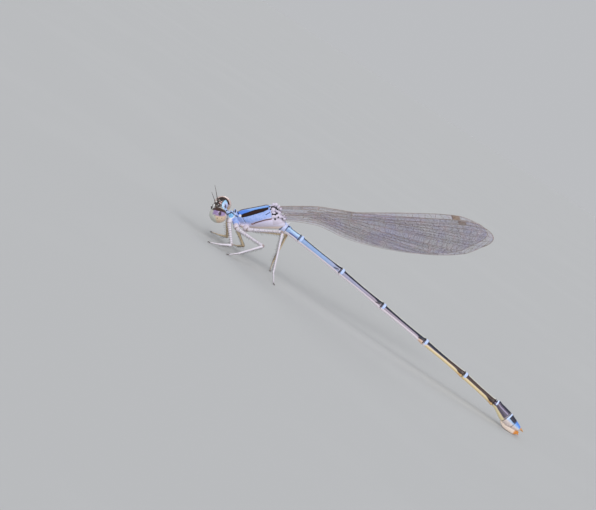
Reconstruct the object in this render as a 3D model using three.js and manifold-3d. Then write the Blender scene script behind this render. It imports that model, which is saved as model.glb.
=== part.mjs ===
// A life-size still model of a resting damselfly, a slender insect with its four clear wings closed over its back.
// Lengths are in millimetres and Z is up. The head points to -X, the insect's left side to -Y, and the feet and the
// tip of the abdomen rest on Z = 0. It is modelled from the point where the abdomen's tip touches down, and the whole
// is then moved so that the centre of its footprint is the origin.
import * as THREE from "three";
import { mergeVertices } from "three/addons/utils/BufferGeometryUtils.js";
import Module from "manifold-3d";

const wasm = await Module();
wasm.setup();

// Driving sizes
const GAP = 0.24; // between neighbouring pieces
const SIDES = { left: -1, right: 1 };
const UP = new THREE.Vector3(0, 0, 1);

const HEAD = {
  middle: [-34.9, 0, 2.85],
  pitch: -20, // degrees, the face looking down
  roll: 23, // degrees, the crown leaning to the left
  eyeSpacing: 2.34,
  eyeRadii: [0.84, 0.78, 0.76], // forward, up, outward
  eyeFace: 0.93, // the eye's flat inner face, from the middle of the head
  rear: 0.44, // the flat behind the head that the neck meets
  stations: 11,
  points: 40,
  ocelli: [[0.26, 0], [-0.02, 0.2], [-0.02, -0.2]], // forward and left, the three simple eyes on the crown
  ocellusRise: 0.67,
  ocellusRadius: 0.09,
};
const ANTENNA = {
  root: [0.42, 0.5, 0.4], // forward, up, outward
  direction: [0.3, 0.9, 0.22],
  lengths: [0, 0.3, 0.65, 1.05, 1.6],
  radii: [0.25, 0.24, 0.18, 0.12, 0.06],
  bend: 0.06,
  socketRadius: 0.26,
  socketRoot: 0.6, // of the way out to the feeler's root
};
const THORAX = {
  front: [-33.5, 3.63], // x and z of the front end of the ridge of the back
  slope: 43.6, // degrees, the back rising to the wings
  points: 22,
  // along the back, depth of the back below its ridge line, depth of the breast, half width
  sections: [
    [0.0, 0.12, 1.3, 0.56],
    [0.35, 0.02, 1.62, 0.84],
    [0.9, 0.0, 1.86, 1.02],
    [1.6, 0.0, 2.04, 1.12],
    [2.4, 0.0, 2.2, 1.16],
    [3.0, 0.02, 2.34, 1.12],
    [3.45, 0.3, 2.44, 1.02],
    [3.9, 0.86, 2.5, 0.86],
    [4.3, 1.5, 2.4, 0.6],
  ],
};
const PROTHORAX = {
  points: 18,
  // along the back, depth of the back, depth of the breast, half width
  sections: [
    [-1.0, 0.2, 0.62, 0.26],
    [-0.86, 0.0, 0.82, 0.42],
    [-0.62, -0.04, 0.92, 0.52],
    [-0.44, 0.02, 0.9, 0.52],
    [-0.24, -0.14, 0.78, 0.46],
  ],
  neckRadius: 0.26,
};
const ABDOMEN = {
  points: 14,
  // x and z of the middle of each joint between its segments, from the thorax back
  joints: [
    [-29.25, 4.92],
    [-28.6, 4.87],
    [-27.04, 4.74],
    [-22.08, 4.2],
    [-16.97, 3.57],
    [-11.73, 2.86],
    [-6.86, 2.24],
    [-2.96, 1.6],
  ],
  // radius at the front, middle and rear of each segment
  radii: [
    [0.46, 0.5, 0.48],
    [0.46, 0.44, 0.42],
    [0.42, 0.32, 0.38],
    [0.37, 0.3, 0.36],
    [0.35, 0.29, 0.33],
    [0.34, 0.28, 0.34],
    [0.34, 0.3, 0.35],
  ],
};
const TAIL = {
  // each section: x and z of its top, x and z of its bottom, half width
  segment8: [
    [-2.72, 2.03, -2.78, 1.2, 0.37],
    [-2.2, 1.93, -2.38, 0.98, 0.42],
    [-1.7, 1.83, -1.98, 0.76, 0.48],
    [-1.14, 1.7, -1.58, 0.58, 0.52],
  ],
  segment9: [
    [-0.9, 1.64, -1.32, 0.54, 0.54],
    [-0.6, 1.5, -0.98, 0.5, 0.56],
    [-0.34, 1.38, -0.64, 0.5, 0.52],
  ],
  segment10: [
    [-0.1, 1.27, -0.38, 0.5, 0.47],
    [0.2, 1.13, 0.02, 0.5, 0.4],
    [0.42, 1.0, 0.36, 0.56, 0.32],
  ],
  points: 14,
  cercusRoot: [0.4, 0.15, 0.84],
  cercusTip: [0.86, 0.2, 0.76],
  cercusRadius: 0.12,
  // the egg-laying sheath under the tail, a flat-bottomed keel: x, top, bottom, half width
  sheath: [
    [-1.46, 0.33, 0.2, 0.12],
    [-1.06, 0.27, 0.04, 0.2],
    [-0.7, 0.26, 0.0, 0.25],
    [0.05, 0.26, 0.0, 0.24],
    [0.36, 0.3, 0.1, 0.18],
    [0.68, 0.44, 0.28, 0.08],
  ],
};
const LEGS = {
  stubRadius: 0.28,
  coxaRadius: 0.28,
  femurRadii: [0.25, 0.28, 0.25],
  shinRadius: 0.25,
  toeRadius: 0.23,
  kneeRadius: 0.26,
  sides: 8,
  rows: 6,
  rootReach: 0.4, // how far a stub runs into the body
};
const KNUCKLE = { reach: 1.15, neck: 0.4, radii: [0.34, 0.32, 0.26] }; // what a wing hinges on
const KEEL = { thorax: 0.42, prothorax: 0.25, breast: 0.16 }; // how far the sides draw in towards back and breast
// Each leg: where it leaves the body, the coxa's end, the knee, the ankle and the claws.
const LEG_POINTS = {
  fore_left: [[-33.56, -0.4, 2.62], [-33.45, -0.75, 2.28], [-32.05, -2.6, 0.9], [-33.05, -2.95, 0.46], [-33.95, -3.25, 0]],
  fore_right: [[-33.66, 0.4, 2.56], [-33.75, 0.75, 2.2], [-33.05, 2.1, 0.72], [-33.8, 2.75, 0.42], [-34.65, 3.4, 0]],
  mid_left: [[-32.86, -0.52, 2.54], [-32.6, -0.92, 2.27], [-29.5, -2.5, 2.45], [-31.05, -3.15, 0.72], [-31.85, -3.45, 0]],
  mid_right: [[-32.95, 0.52, 2.5], [-32.9, 0.92, 2.24], [-31.25, 2.35, 0.8], [-31.8, 3.05, 0.42], [-32.5, 3.8, 0]],
  hind_left: [[-32.02, -0.55, 2.8], [-31.66, -0.98, 2.75], [-28.72, -2.0, 4.5], [-27.4, -2.95, 1.0], [-26.76, -3.25, 0]],
  hind_right: [[-32.02, 0.55, 2.76], [-31.62, 0.98, 2.64], [-28.3, 1.65, 4.05], [-28.0, 2.6, 1.0], [-27.8, 2.95, 0]],
};
const FOOT = { sole: 0.34, halfWidth: 0.2, height: 0.46 }; // the flat pad under the claws
const WING = {
  halfMembrane: 0.2,
  halfVein: 0.25,
  stations: 16,
  rim: 0.035, // of the wing's width
  veinWidth: 0.03, // half, of the wing's width
  leastStep: 0.03,
};
// Each wing: its hinge, how far it rises, how far it stands from the middle, its length, and how far its front edge
// and hind margin lie from its axis at places along it.
const FOREWING = {
  root: [-30.16, 5.85],
  angle: 26.1,
  rightDroop: 0.1, // degrees, the right wing lying lower
  yRoot: 0.37,
  yBlade: 0.37,
  yTurn: 3,
  length: 20.5,
  costa: [[0, 0.34], [1.8, 0.58], [3.7, 0.76], [5.3, 0.72], [7.5, 0.64], [10, 0.72], [14, 0.95], [17, 1.12], [18.8, 1.0], [19.6, 0.7]],
  margin: [[0, -0.2], [2, -0.24], [3.4, -0.36], [4.4, -0.66], [6, -1.25], [8, -1.8], [10.5, -2.25], [13, -2.45], [15.3, -2.4], [16.9, -2.2], [18.4, -1.8], [19.5, -1.15]],
};
const HINDWING = {
  root: [-29.5, 5.52],
  angle: 29.0,
  rightDroop: 0.7,
  yRoot: 0.8,
  yBlade: 1.11,
  yTurn: 1.8,
  length: 19.4,
  costa: [[0, 0.24], [1.8, 0.4], [4.4, 0.7], [8.2, 1.0], [12, 1.28], [15.2, 1.42], [17, 1.3], [18.4, 0.82]],
  margin: [[0, -0.26], [1.4, -0.3], [2.65, -0.4], [3.5, -0.54], [4.5, -0.9], [5.5, -1.32], [7, -1.76], [9, -2.13], [11.3, -2.4], [13.2, -2.46], [15.1, -2.32], [17.2, -1.84], [18.5, -1.1]],
};
// The main veins, from the hind margin to the front edge: share of the width from the hind margin where each leaves
// the stem, where it ends, and the share of the wing's length at which it gets there.
const VEINS = [
  { name: "cubitus", from: 0.3, to: 0, end: 0.58, bend: 0.75 },
  { name: "media", from: 0.42, to: 0, end: 0.8, bend: 1.1 },
  { name: "thirdRadial", from: 0.52, to: 0, end: 0.92, bend: 1.5 },
  { name: "secondRadial", from: 0.62, to: 0.3, end: 1, bend: 1.4 },
  { name: "radius", from: 0.8, to: 0.86, end: 1, bend: 0.6 },
];

// Shared tools
const rad = THREE.MathUtils.degToRad;
const vec = (p) => new THREE.Vector3(...p);
const smooth = (a, b, x) => THREE.MathUtils.smoothstep(x, a, b);

// A closed solid from a geometry whose triangles close up.
function solidOf(geometry) {
  const bare = geometry.clone();
  bare.deleteAttribute("normal");
  bare.deleteAttribute("uv");
  const merged = mergeVertices(bare, 1e-5);
  const mesh = { numProp: 3, vertProperties: merged.attributes.position.array, triVerts: new Uint32Array(merged.index.array) };
  const made = new wasm.Manifold(new wasm.Mesh(mesh));
  if (made.volume() > 0) return made;
  for (let i = 0; i < mesh.triVerts.length; i += 3)
    [mesh.triVerts[i + 1], mesh.triVerts[i + 2]] = [mesh.triVerts[i + 2], mesh.triVerts[i + 1]];
  return new wasm.Manifold(new wasm.Mesh(mesh));
}

// The largest closed surface of a solid, as a geometry.
function geometryOf(solid) {
  const largest = solid.decompose().reduce((a, b) => (a.volume() > b.volume() ? a : b));
  const mesh = largest.getMesh();
  const geometry = new THREE.BufferGeometry();
  geometry.setAttribute("position", new THREE.BufferAttribute(new Float32Array(mesh.vertProperties), 3));
  geometry.setIndex(new THREE.BufferAttribute(new Uint32Array(mesh.triVerts), 1));
  geometry.computeVertexNormals();
  return geometry;
}

// A closed skin over rings of points, each ring with the same number of points.
function loft(rings) {
  const count = rings[0].length;
  const middle = (ring) => ring.reduce((sum, p) => sum.add(p), new THREE.Vector3()).divideScalar(count);
  const points = [...rings.flat(), middle(rings[0]), middle(rings.at(-1))];
  const first = rings.length * count;
  const last = first + 1;
  const index = [];
  rings.slice(1).forEach((_, r) => {
    for (let i = 0; i < count; i++) {
      const a = r * count + i;
      const b = r * count + ((i + 1) % count);
      index.push(a, b, b + count, a, b + count, a + count);
    }
  });
  for (let i = 0; i < count; i++) {
    const j = (i + 1) % count;
    const top = (rings.length - 1) * count;
    index.push(first, j, i, last, top + i, top + j);
  }
  const geometry = new THREE.BufferGeometry().setFromPoints(points);
  geometry.setIndex(index);
  return solidOf(geometry);
}

// A round bar along a path, with a radius at each of its points.
function bar(path, radii, sides = LEGS.sides) {
  const points = path.map((p) => (p.isVector3 ? p : vec(p)));
  let across = new THREE.Vector3(0, 1, 0);
  const rings = points.map((p, i) => {
    const ahead = points[Math.min(i + 1, points.length - 1)];
    const behind = points[Math.max(i - 1, 0)];
    const along = ahead.clone().sub(behind).normalize();
    across = across.clone().addScaledVector(along, -across.dot(along)).normalize();
    const other = along.clone().cross(across);
    return Array.from({ length: sides }, (_, k) => {
      const turn = (2 * Math.PI * k) / sides;
      return p
        .clone()
        .addScaledVector(across, radii[i] * Math.cos(turn))
        .addScaledVector(other, radii[i] * Math.sin(turn));
    });
  });
  return loft(rings);
}

function ball(middle, radii, basis, columns = 16, rows = 10) {
  const geometry = new THREE.SphereGeometry(1, columns, rows).scale(...radii);
  if (basis) geometry.applyMatrix4(basis);
  return solidOf(geometry.translate(...middle));
}

// A block that fills everything ahead of a point in a direction, for trimming.
function ahead(point, direction, size = 12) {
  const turn = new THREE.Quaternion().setFromUnitVectors(UP, direction.clone().normalize());
  const block = new THREE.BoxGeometry(size, size, size).translate(0, 0, size / 2).applyQuaternion(turn);
  return solidOf(block.translate(...point.toArray()));
}

const join = (solids) => solids.reduce((a, b) => a.add(b));

// A value read off a short list of [place, value] pairs, along a curve through them.
function readOff(pairs, place) {
  const curve = new THREE.SplineCurve(pairs.map(([x, y]) => new THREE.Vector2(x, y)));
  let low = 0;
  let high = 1;
  for (let i = 0; i < 30; i++) {
    const mid = (low + high) / 2;
    if (curve.getPoint(mid).x < place) low = mid;
    else high = mid;
  }
  return curve.getPoint(low).y;
}

const group = new THREE.Group();
const COLOURS = {
  head: [0x4a3328, 0.35],
  eye: [0xb9a08f, 0.15],
  antenna: [0x2a2220, 0.4],
  thorax: [0x8ea8d8, 0.4],
  neck: [0x7fa6d6, 0.45],
  abdomen: [0x6d86ad, 0.35],
  tail: [0x9fc0dd, 0.4],
  sheath: [0xd8b9a0, 0.45],
  leg: [0xcfc4b4, 0.45],
  wing: [0x8f8684, 0.2],
};

function put(name, solid, look) {
  const [color, roughness] = COLOURS[look];
  const material = new THREE.MeshStandardMaterial({ color, roughness, metalness: 0 });
  const mesh = new THREE.Mesh(geometryOf(solid), material);
  mesh.name = name;
  group.add(mesh);
}

// The thorax is measured along its back and down from it.
const backDirection = new THREE.Vector3(Math.cos(rad(THORAX.slope)), 0, Math.sin(rad(THORAX.slope)));
const breastDirection = new THREE.Vector3(Math.sin(rad(THORAX.slope)), 0, -Math.cos(rad(THORAX.slope)));
function onThorax(along, down, y) {
  return new THREE.Vector3(THORAX.front[0], y, THORAX.front[1])
    .addScaledVector(backDirection, along)
    .addScaledVector(breastDirection, down);
}

// One cross-section of the thorax: a keeled roof above, full sides and a rounded breast.
function thoraxRing([along, back, breast, half], points, keel) {
  const middle = (back + breast) / 2;
  const reach = (breast - back) / 2;
  return Array.from({ length: points }, (_, k) => {
    const turn = (2 * Math.PI * k) / points;
    const across = Math.sin(turn);
    const down = -Math.cos(turn);
    const narrow = 1 - (down < 0 ? keel : KEEL.breast) * down * down;
    return onThorax(along, middle + reach * down, half * across * narrow);
  });
}

// Head
const headMiddle = vec(HEAD.middle);
const headBasis = (() => {
  const pitch = rad(HEAD.pitch);
  const roll = rad(HEAD.roll);
  const forward = new THREE.Vector3(-Math.cos(pitch), 0, Math.sin(pitch));
  const straightUp = new THREE.Vector3(Math.sin(pitch), 0, Math.cos(pitch));
  const left = new THREE.Vector3(0, -1, 0);
  const up = straightUp.clone().multiplyScalar(Math.cos(roll)).addScaledVector(left, Math.sin(roll));
  const outward = left.clone().multiplyScalar(Math.cos(roll)).addScaledVector(straightUp, -Math.sin(roll));
  return { forward, up, left: outward, matrix: new THREE.Matrix4().makeBasis(forward, up, outward) };
})();
function onHead(forward, up, left) {
  return headMiddle
    .clone()
    .addScaledVector(headBasis.forward, forward)
    .addScaledVector(headBasis.up, up)
    .addScaledVector(headBasis.left, left);
}

// The reach of the head from its middle, at an angle up from straight ahead and a place from side to side.
function headReach(angle, left) {
  const degrees = THREE.MathUtils.radToDeg(Math.atan2(Math.sin(angle), Math.cos(angle)));
  const bump = (at, spread, height, width) =>
    height * Math.exp(-(((degrees - at) / spread) ** 2)) * Math.exp(-((left / width) ** 2));
  const backwards = Math.max(0, -Math.cos(angle));
  const base = 0.66 - 0.16 * backwards * backwards + 0.05 * Math.abs(Math.sin(angle));
  return (
    base +
    bump(34, 13, 0.16, 0.62) + // brow between the feelers
    bump(6, 14, 0.3, 0.5) + // nose
    bump(-14, 6, -0.06, 0.6) +
    bump(-32, 14, 0.22, 0.45) + // upper lip
    bump(-50, 6, -0.1, 0.5) + // line of the mouth
    bump(-76, 20, 0.12, 0.42) + // lower lip
    bump(104, 22, -0.05, 0.3) +
    bump(180, 40, -0.14, 0.45) // hollow behind, for the neck
  );
}

function makeHead() {
  const edge = HEAD.eyeFace - GAP;
  const rings = Array.from({ length: HEAD.stations }, (_, i) => {
    const left = edge * (-1 + (2 * i) / (HEAD.stations - 1));
    return Array.from({ length: HEAD.points }, (_, k) => {
      const angle = (2 * Math.PI * k) / HEAD.points;
      const reach = headReach(angle, left);
      return onHead(reach * Math.cos(angle), reach * Math.sin(angle), left);
    });
  });
  const pieces = [loft(rings)];
  for (const side of Object.values(SIDES)) {
    const [forward, up, out] = ANTENNA.root;
    const inside = onHead(forward * ANTENNA.socketRoot, up * ANTENNA.socketRoot, -side * out);
    const radius = ANTENNA.socketRadius;
    pieces.push(bar([inside, onHead(forward, up, -side * out)], [radius, radius]));
  }
  for (const [forward, left] of HEAD.ocelli) {
    const small = Array(3).fill(HEAD.ocellusRadius);
    pieces.push(ball(onHead(forward, HEAD.ocellusRise, left).toArray(), small, null, 6, 4));
  }
  const neckEnd = headMiddle.clone().addScaledVector(headBasis.forward, -HEAD.rear);
  const neckWay = onThorax(-0.95, 0.4, 0).sub(neckEnd).normalize();
  return join(pieces).subtract(ahead(neckEnd, neckWay));
}

function makeEye(side) {
  const out = -side;
  const eye = ball(onHead(0, 0, (out * HEAD.eyeSpacing) / 2).toArray(), HEAD.eyeRadii, headBasis.matrix, 24, 16);
  return eye.subtract(ahead(onHead(0, 0, out * HEAD.eyeFace), headBasis.left.clone().multiplyScalar(-out)));
}

function makeAntenna(side) {
  const out = -side;
  const [forward, up, spread] = ANTENNA.root;
  const [df, du, ds] = ANTENNA.direction;
  const path = ANTENNA.lengths.map((s) => {
    const t = s + GAP;
    return onHead(forward + df * t + ANTENNA.bend * s * s * 0.5, up + du * t, out * (spread + ds * t));
  });
  return bar(path, ANTENNA.radii, 8);
}

// Thorax
function stubFor(points) {
  const [root, hip] = points.map(vec);
  const radius = LEGS.stubRadius;
  const way = hip.clone().sub(root).normalize();
  return bar([root.clone().addScaledVector(way, -LEGS.rootReach), root], [radius, radius]);
}

function wingWay(wing, side) {
  const angle = rad(wing.angle - (side === SIDES.right ? wing.rightDroop : 0));
  return new THREE.Vector3(Math.cos(angle), 0, Math.sin(angle));
}

// The knuckle on the thorax that a wing hinges on, square to the wing's root.
function wingKnuckle(wing, side) {
  const way = wingWay(wing, side);
  const root = new THREE.Vector3(wing.root[0], side * wing.yRoot, wing.root[1]).addScaledVector(way, -GAP);
  const rise = new THREE.Vector3(-way.z, 0, way.x).multiplyScalar((wing.costa[0][1] + wing.margin[0][1]) / 2);
  root.add(rise);
  return bar([KNUCKLE.reach, KNUCKLE.neck, 0].map((back) => root.clone().addScaledVector(way, -back)), KNUCKLE.radii);
}

function makeThorax() {
  const pieces = [loft(THORAX.sections.map((s) => thoraxRing(s, THORAX.points, KEEL.thorax)))];
  for (const [name, points] of Object.entries(LEG_POINTS)) if (!name.startsWith("fore")) pieces.push(stubFor(points));
  for (const side of Object.values(SIDES)) pieces.push(wingKnuckle(FOREWING, side), wingKnuckle(HINDWING, side));
  const [[x, z], [nextX, nextZ]] = ABDOMEN.joints;
  const rearward = new THREE.Vector3(nextX - x, 0, nextZ - z).normalize();
  const cut = ahead(new THREE.Vector3(x, 0, z).addScaledVector(rearward, -GAP), rearward);
  const low = solidOf(new THREE.BoxGeometry(8, 8, 4).translate(x, 0, z - 1.4));
  return join(pieces).subtract(cut.intersect(low));
}

function makeProthorax() {
  const pieces = [loft(PROTHORAX.sections.map((s) => thoraxRing(s, PROTHORAX.points, KEEL.prothorax)))];
  pieces.push(stubFor(LEG_POINTS.fore_left), stubFor(LEG_POINTS.fore_right));
  const neckEnd = headMiddle.clone().addScaledVector(headBasis.forward, -HEAD.rear);
  const inside = onThorax(-0.6, 0.4, 0);
  const way = inside.clone().sub(neckEnd).normalize();
  const radius = PROTHORAX.neckRadius;
  pieces.push(bar([neckEnd.clone().addScaledVector(way, GAP), inside], [radius, radius]));
  return join(pieces);
}

// Abdomen
function flatRing([topX, topZ, bottomX, bottomZ, half]) {
  return Array.from({ length: TAIL.points }, (_, k) => {
    const turn = (2 * Math.PI * k) / TAIL.points;
    const rise = (1 + Math.cos(turn)) / 2;
    const x = THREE.MathUtils.lerp(bottomX, topX, rise);
    return new THREE.Vector3(x, half * Math.sin(turn), THREE.MathUtils.lerp(bottomZ, topZ, rise));
  });
}

// One length of the abdomen, square to the joint at each end and a little swollen there.
function abdomenSegment(n) {
  const joints = ABDOMEN.joints.map(([x, z]) => new THREE.Vector3(x, 0, z));
  const wayAt = (j) => {
    const next = joints[Math.min(j + 1, joints.length - 1)];
    return next.clone().sub(joints[Math.max(j - 1, 0)]).normalize();
  };
  const [start, end] = [joints[n], joints[n + 1]];
  const [front, middle, rear] = ABDOMEN.radii[n];
  const full = end.distanceTo(start);
  const places = [0, 0.06, 0.22, 0.55, 0.86, 0.95, 1];
  const swell = 0.02;
  const radii = [front, front + swell, (front + middle) / 2, middle, (rear + middle) / 2, rear + swell, rear];
  return loft(
    places.map((share, k) => {
      const along = (share * (full - GAP)) / full;
      const centre = start.clone().lerp(end, along);
      const way = wayAt(n).lerp(wayAt(n + 1), share).normalize();
      return Array.from({ length: ABDOMEN.points }, (_, i) => {
        const turn = (2 * Math.PI * i) / ABDOMEN.points;
        const rise = radii[k] * Math.cos(turn);
        return centre.clone().add(new THREE.Vector3(-rise * way.z, radii[k] * Math.sin(turn), rise * way.x));
      });
    }),
  );
}

function makeCercus(side) {
  const root = vec(TAIL.cercusRoot);
  const tip = vec(TAIL.cercusTip);
  root.y *= side;
  tip.y *= side;
  const way = tip.clone().sub(root).normalize();
  const r = TAIL.cercusRadius;
  return bar([root.addScaledVector(way, GAP), root.clone().lerp(tip, 0.5), tip], [r, r, 0.05], 8);
}

function makeSheath() {
  return loft(
    TAIL.sheath.map(([x, top, bottom, half]) => [
      new THREE.Vector3(x, -half, bottom),
      new THREE.Vector3(x, half, bottom),
      new THREE.Vector3(x, half, (top + bottom) / 2),
      new THREE.Vector3(x, half * 0.5, top),
      new THREE.Vector3(x, -half * 0.5, top),
      new THREE.Vector3(x, -half, (top + bottom) / 2),
    ]),
  );
}

// Legs
const knob = (place, radius) => ball(place.toArray(), [radius, radius, radius], null, LEGS.sides, LEGS.rows);

function makeLeg(name, points) {
  const [root, hip, knee, ankle, claws] = points.map(vec);
  const rootWay = hip.clone().sub(root).normalize();
  const start = root.clone().addScaledVector(rootWay, GAP);
  const thigh = [0, 0.5, 1].map((share) => hip.clone().lerp(knee, share));
  const upper = join([
    bar([start, hip], [LEGS.coxaRadius, LEGS.coxaRadius]),
    knob(hip, LEGS.coxaRadius),
    bar(thigh, LEGS.femurRadii),
    knob(knee, LEGS.kneeRadius),
  ]);
  put(`leg_${name}_upper`, upper, "leg");

  const shinWay = ankle.clone().sub(knee).normalize();
  const shinStart = knee.clone().addScaledVector(shinWay, LEGS.kneeRadius + GAP);
  const toe = claws.clone().add(new THREE.Vector3(0, 0, FOOT.height / 2));
  const lower = join([
    bar([shinStart, ankle], [LEGS.shinRadius, LEGS.shinRadius]),
    knob(ankle, LEGS.shinRadius),
    bar([ankle, toe], [LEGS.shinRadius, LEGS.toeRadius]),
    solidOf(new THREE.BoxGeometry(2 * FOOT.sole, 2 * FOOT.halfWidth, FOOT.height).translate(...toe.toArray())),
  ]);
  put(`leg_${name}_lower`, lower, "leg");
}

// Wings
function makeWing(wing, side) {
  const way = wingWay(wing, side);
  const rise = new THREE.Vector3(-way.z, 0, way.x);
  const costaEnd = wing.costa.at(-1)[0];
  const marginEnd = wing.margin.at(-1)[0];
  const { stations, rim, veinWidth, halfMembrane, halfVein } = WING;
  const front = [];
  const back = [];
  let columns = 0;
  for (let i = 0; i <= stations; i++) {
    const s = i / stations;
    const top = new THREE.Vector2(s * costaEnd, readOff(wing.costa, s * costaEnd));
    const low = new THREE.Vector2(s * marginEnd, readOff(wing.margin, s * marginEnd));
    const shares = [[0, 1], [rim, 0]];
    for (const vein of VEINS) {
      const run = Math.min(1, s / vein.end);
      const c = vein.from + (vein.to - vein.from) * run ** vein.bend;
      const height = smooth(rim + veinWidth, rim + 3 * veinWidth, c);
      shares.push([c - veinWidth, 0], [c, height], [c + veinWidth, 0]);
    }
    shares.push([1 - rim, 0], [1, 1]);
    columns = shares.length;
    const leastStep = WING.leastStep / low.distanceTo(top);
    for (let k = 1; k < columns; k++) shares[k][0] = Math.max(shares[k][0], shares[k - 1][0] + leastStep);
    for (let k = columns - 2; k > 0; k--) shares[k][0] = Math.min(shares[k][0], shares[k + 1][0] - leastStep);
    const bulge = (wing.length - (costaEnd + marginEnd) / 2) * smooth(0.55, 1, s);
    const y = side * THREE.MathUtils.lerp(wing.yRoot, wing.yBlade, smooth(0, wing.yTurn, s * costaEnd));
    for (const [c, height] of shares) {
      const flat = low.clone().lerp(top, c);
      const place = new THREE.Vector3(wing.root[0], y, wing.root[1])
        .addScaledVector(way, flat.x + bulge * 4 * c * (1 - c))
        .addScaledVector(rise, flat.y);
      const half = halfMembrane + (halfVein - halfMembrane) * height;
      front.push(place.clone().add(new THREE.Vector3(0, -half, 0)));
      back.push(place.clone().add(new THREE.Vector3(0, half, 0)));
    }
  }
  // Each cell is cut from the corner that keeps its two triangles broad, alike on both faces.
  const offset = front.length;
  const at = (i, k) => i * columns + k;
  const index = [];
  for (let i = 0; i < stations; i++)
    for (let k = 0; k < columns - 1; k++) {
      const corners = [at(i, k), at(i + 1, k), at(i + 1, k + 1), at(i, k + 1)];
      if (k < columns / 2) corners.unshift(corners.pop());
      const [a, b, c, d] = corners;
      for (const face of [[a, b, c], [a, c, d]]) {
        index.push(...face, ...face.map((v) => v + offset).reverse());
      }
    }
  const wall = (a, b) => index.push(a, a + offset, b, b, a + offset, b + offset);
  for (let i = 0; i < stations; i++) {
    wall(at(i, 0), at(i + 1, 0));
    wall(at(i + 1, columns - 1), at(i, columns - 1));
  }
  for (let k = 0; k < columns - 1; k++) {
    wall(at(0, k + 1), at(0, k));
    wall(at(stations, k), at(stations, k + 1));
  }
  const geometry = new THREE.BufferGeometry().setFromPoints([...front, ...back]);
  geometry.setIndex(index);
  return solidOf(geometry);
}

put("head", makeHead(), "head");
for (const [name, side] of Object.entries(SIDES)) {
  put(`eye_${name}`, makeEye(side), "eye");
  put(`antenna_${name}`, makeAntenna(side), "antenna");
  put(`forewing_${name}`, makeWing(FOREWING, side), "wing");
  put(`hindwing_${name}`, makeWing(HINDWING, side), "wing");
  put(`cercus_${name}`, makeCercus(side), "tail");
}
put("prothorax", makeProthorax(), "neck");
put("thorax", makeThorax(), "thorax");
ABDOMEN.radii.forEach((_, n) => put(`abdomen_${n + 1}`, abdomenSegment(n), "abdomen"));
for (const n of [8, 9, 10]) put(`abdomen_${n}`, loft(TAIL[`segment${n}`].map(flatRing)), "tail");
put("ovipositor", makeSheath(), "sheath");
for (const [name, points] of Object.entries(LEG_POINTS)) makeLeg(name, points);

const box = new THREE.Box3().setFromObject(group);
group.position.set(-(box.min.x + box.max.x) / 2, -(box.min.y + box.max.y) / 2, -box.min.z);

export default group;
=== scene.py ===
"""A life-size model of a resting damselfly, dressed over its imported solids.

Shapes are worked out in millimetres from the point where the tail touches the floor: x runs from the head
back to the tail, y to the insect's right and z up. They become metres in the model's own frame when
a piece is made.
"""
import math

import bmesh
import bpy
import numpy as np
from mathutils import Matrix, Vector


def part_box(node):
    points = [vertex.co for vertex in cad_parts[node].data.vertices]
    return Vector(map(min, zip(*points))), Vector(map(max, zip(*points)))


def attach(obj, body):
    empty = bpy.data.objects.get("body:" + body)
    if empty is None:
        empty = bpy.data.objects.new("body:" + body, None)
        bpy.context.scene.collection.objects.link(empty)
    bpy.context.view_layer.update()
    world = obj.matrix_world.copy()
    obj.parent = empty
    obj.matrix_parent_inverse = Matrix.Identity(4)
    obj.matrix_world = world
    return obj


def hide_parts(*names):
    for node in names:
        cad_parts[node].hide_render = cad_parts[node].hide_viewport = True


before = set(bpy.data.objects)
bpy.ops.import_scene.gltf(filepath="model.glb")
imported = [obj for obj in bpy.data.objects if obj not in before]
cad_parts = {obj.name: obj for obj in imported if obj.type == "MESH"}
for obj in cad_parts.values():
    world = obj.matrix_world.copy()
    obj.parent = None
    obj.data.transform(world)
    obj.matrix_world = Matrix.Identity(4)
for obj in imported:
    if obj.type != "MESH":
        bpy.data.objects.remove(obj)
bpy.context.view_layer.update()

MM = 0.001
SHEATH_FRONT = -1.46  # where the solid sheath begins, along the body
RNG = np.random.default_rng(7)


def find_origin():
    """The place, in the model's own frame, of the point where the tail touches down."""
    middle = (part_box("forewing_left")[0][1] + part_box("forewing_right")[1][1]) / 2
    return np.array([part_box("ovipositor")[0][0] - SHEATH_FRONT * MM, middle, 0.0])


ORIGIN = find_origin()

# Sizes of the body, in millimetres, as in the solids that carry it
HEAD_MIDDLE = np.array([-34.9, 0.0, 2.85])
HEAD_PITCH = math.radians(-20)
HEAD_ROLL = math.radians(23)
EYE_SPACING = 2.34
EYE_RADII = (0.835, 0.775, 0.755)
EYE_FACE = 0.84  # the eye's flat inner face, from the middle of the head
CAP_REACH = {1: 0.55, -1: -0.05}  # how far out the dark cap comes on the left and the right eye
HEAD_HALF = 0.95
ANTENNA_ROOT = (0.42, 0.5, 0.4)
ANTENNA_WAY = (0.3, 0.9, 0.22)
ANTENNA_LENGTH = 1.75
OCELLI = ((0.17, 0.0), (0.03, 0.19), (0.03, -0.19))  # forward and left
# The white blobs along the front of the head, alike on both sides, are the pale face with painted highlights
# at its brightest spots: forward, up, to the side, and radius.
FACE_AND_HIGHLIGHT_BLOBS = (
    (0.6, 0.38, 0.78, 0.2),
    (0.66, 0.26, 0.62, 0.17),
    (0.63, 0.45, 0.36, 0.22),
    (0.86, 0.06, 0.0, 0.2),
    (0.86, 0.02, 0.26, 0.14),
    (0.24, 0.66, 0.4, 0.07),
)

THORAX_FRONT = np.array([-33.5, 0.0, 3.63])
THORAX_SLOPE = math.radians(43.6)
THORAX_KEEL = 0.42
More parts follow.
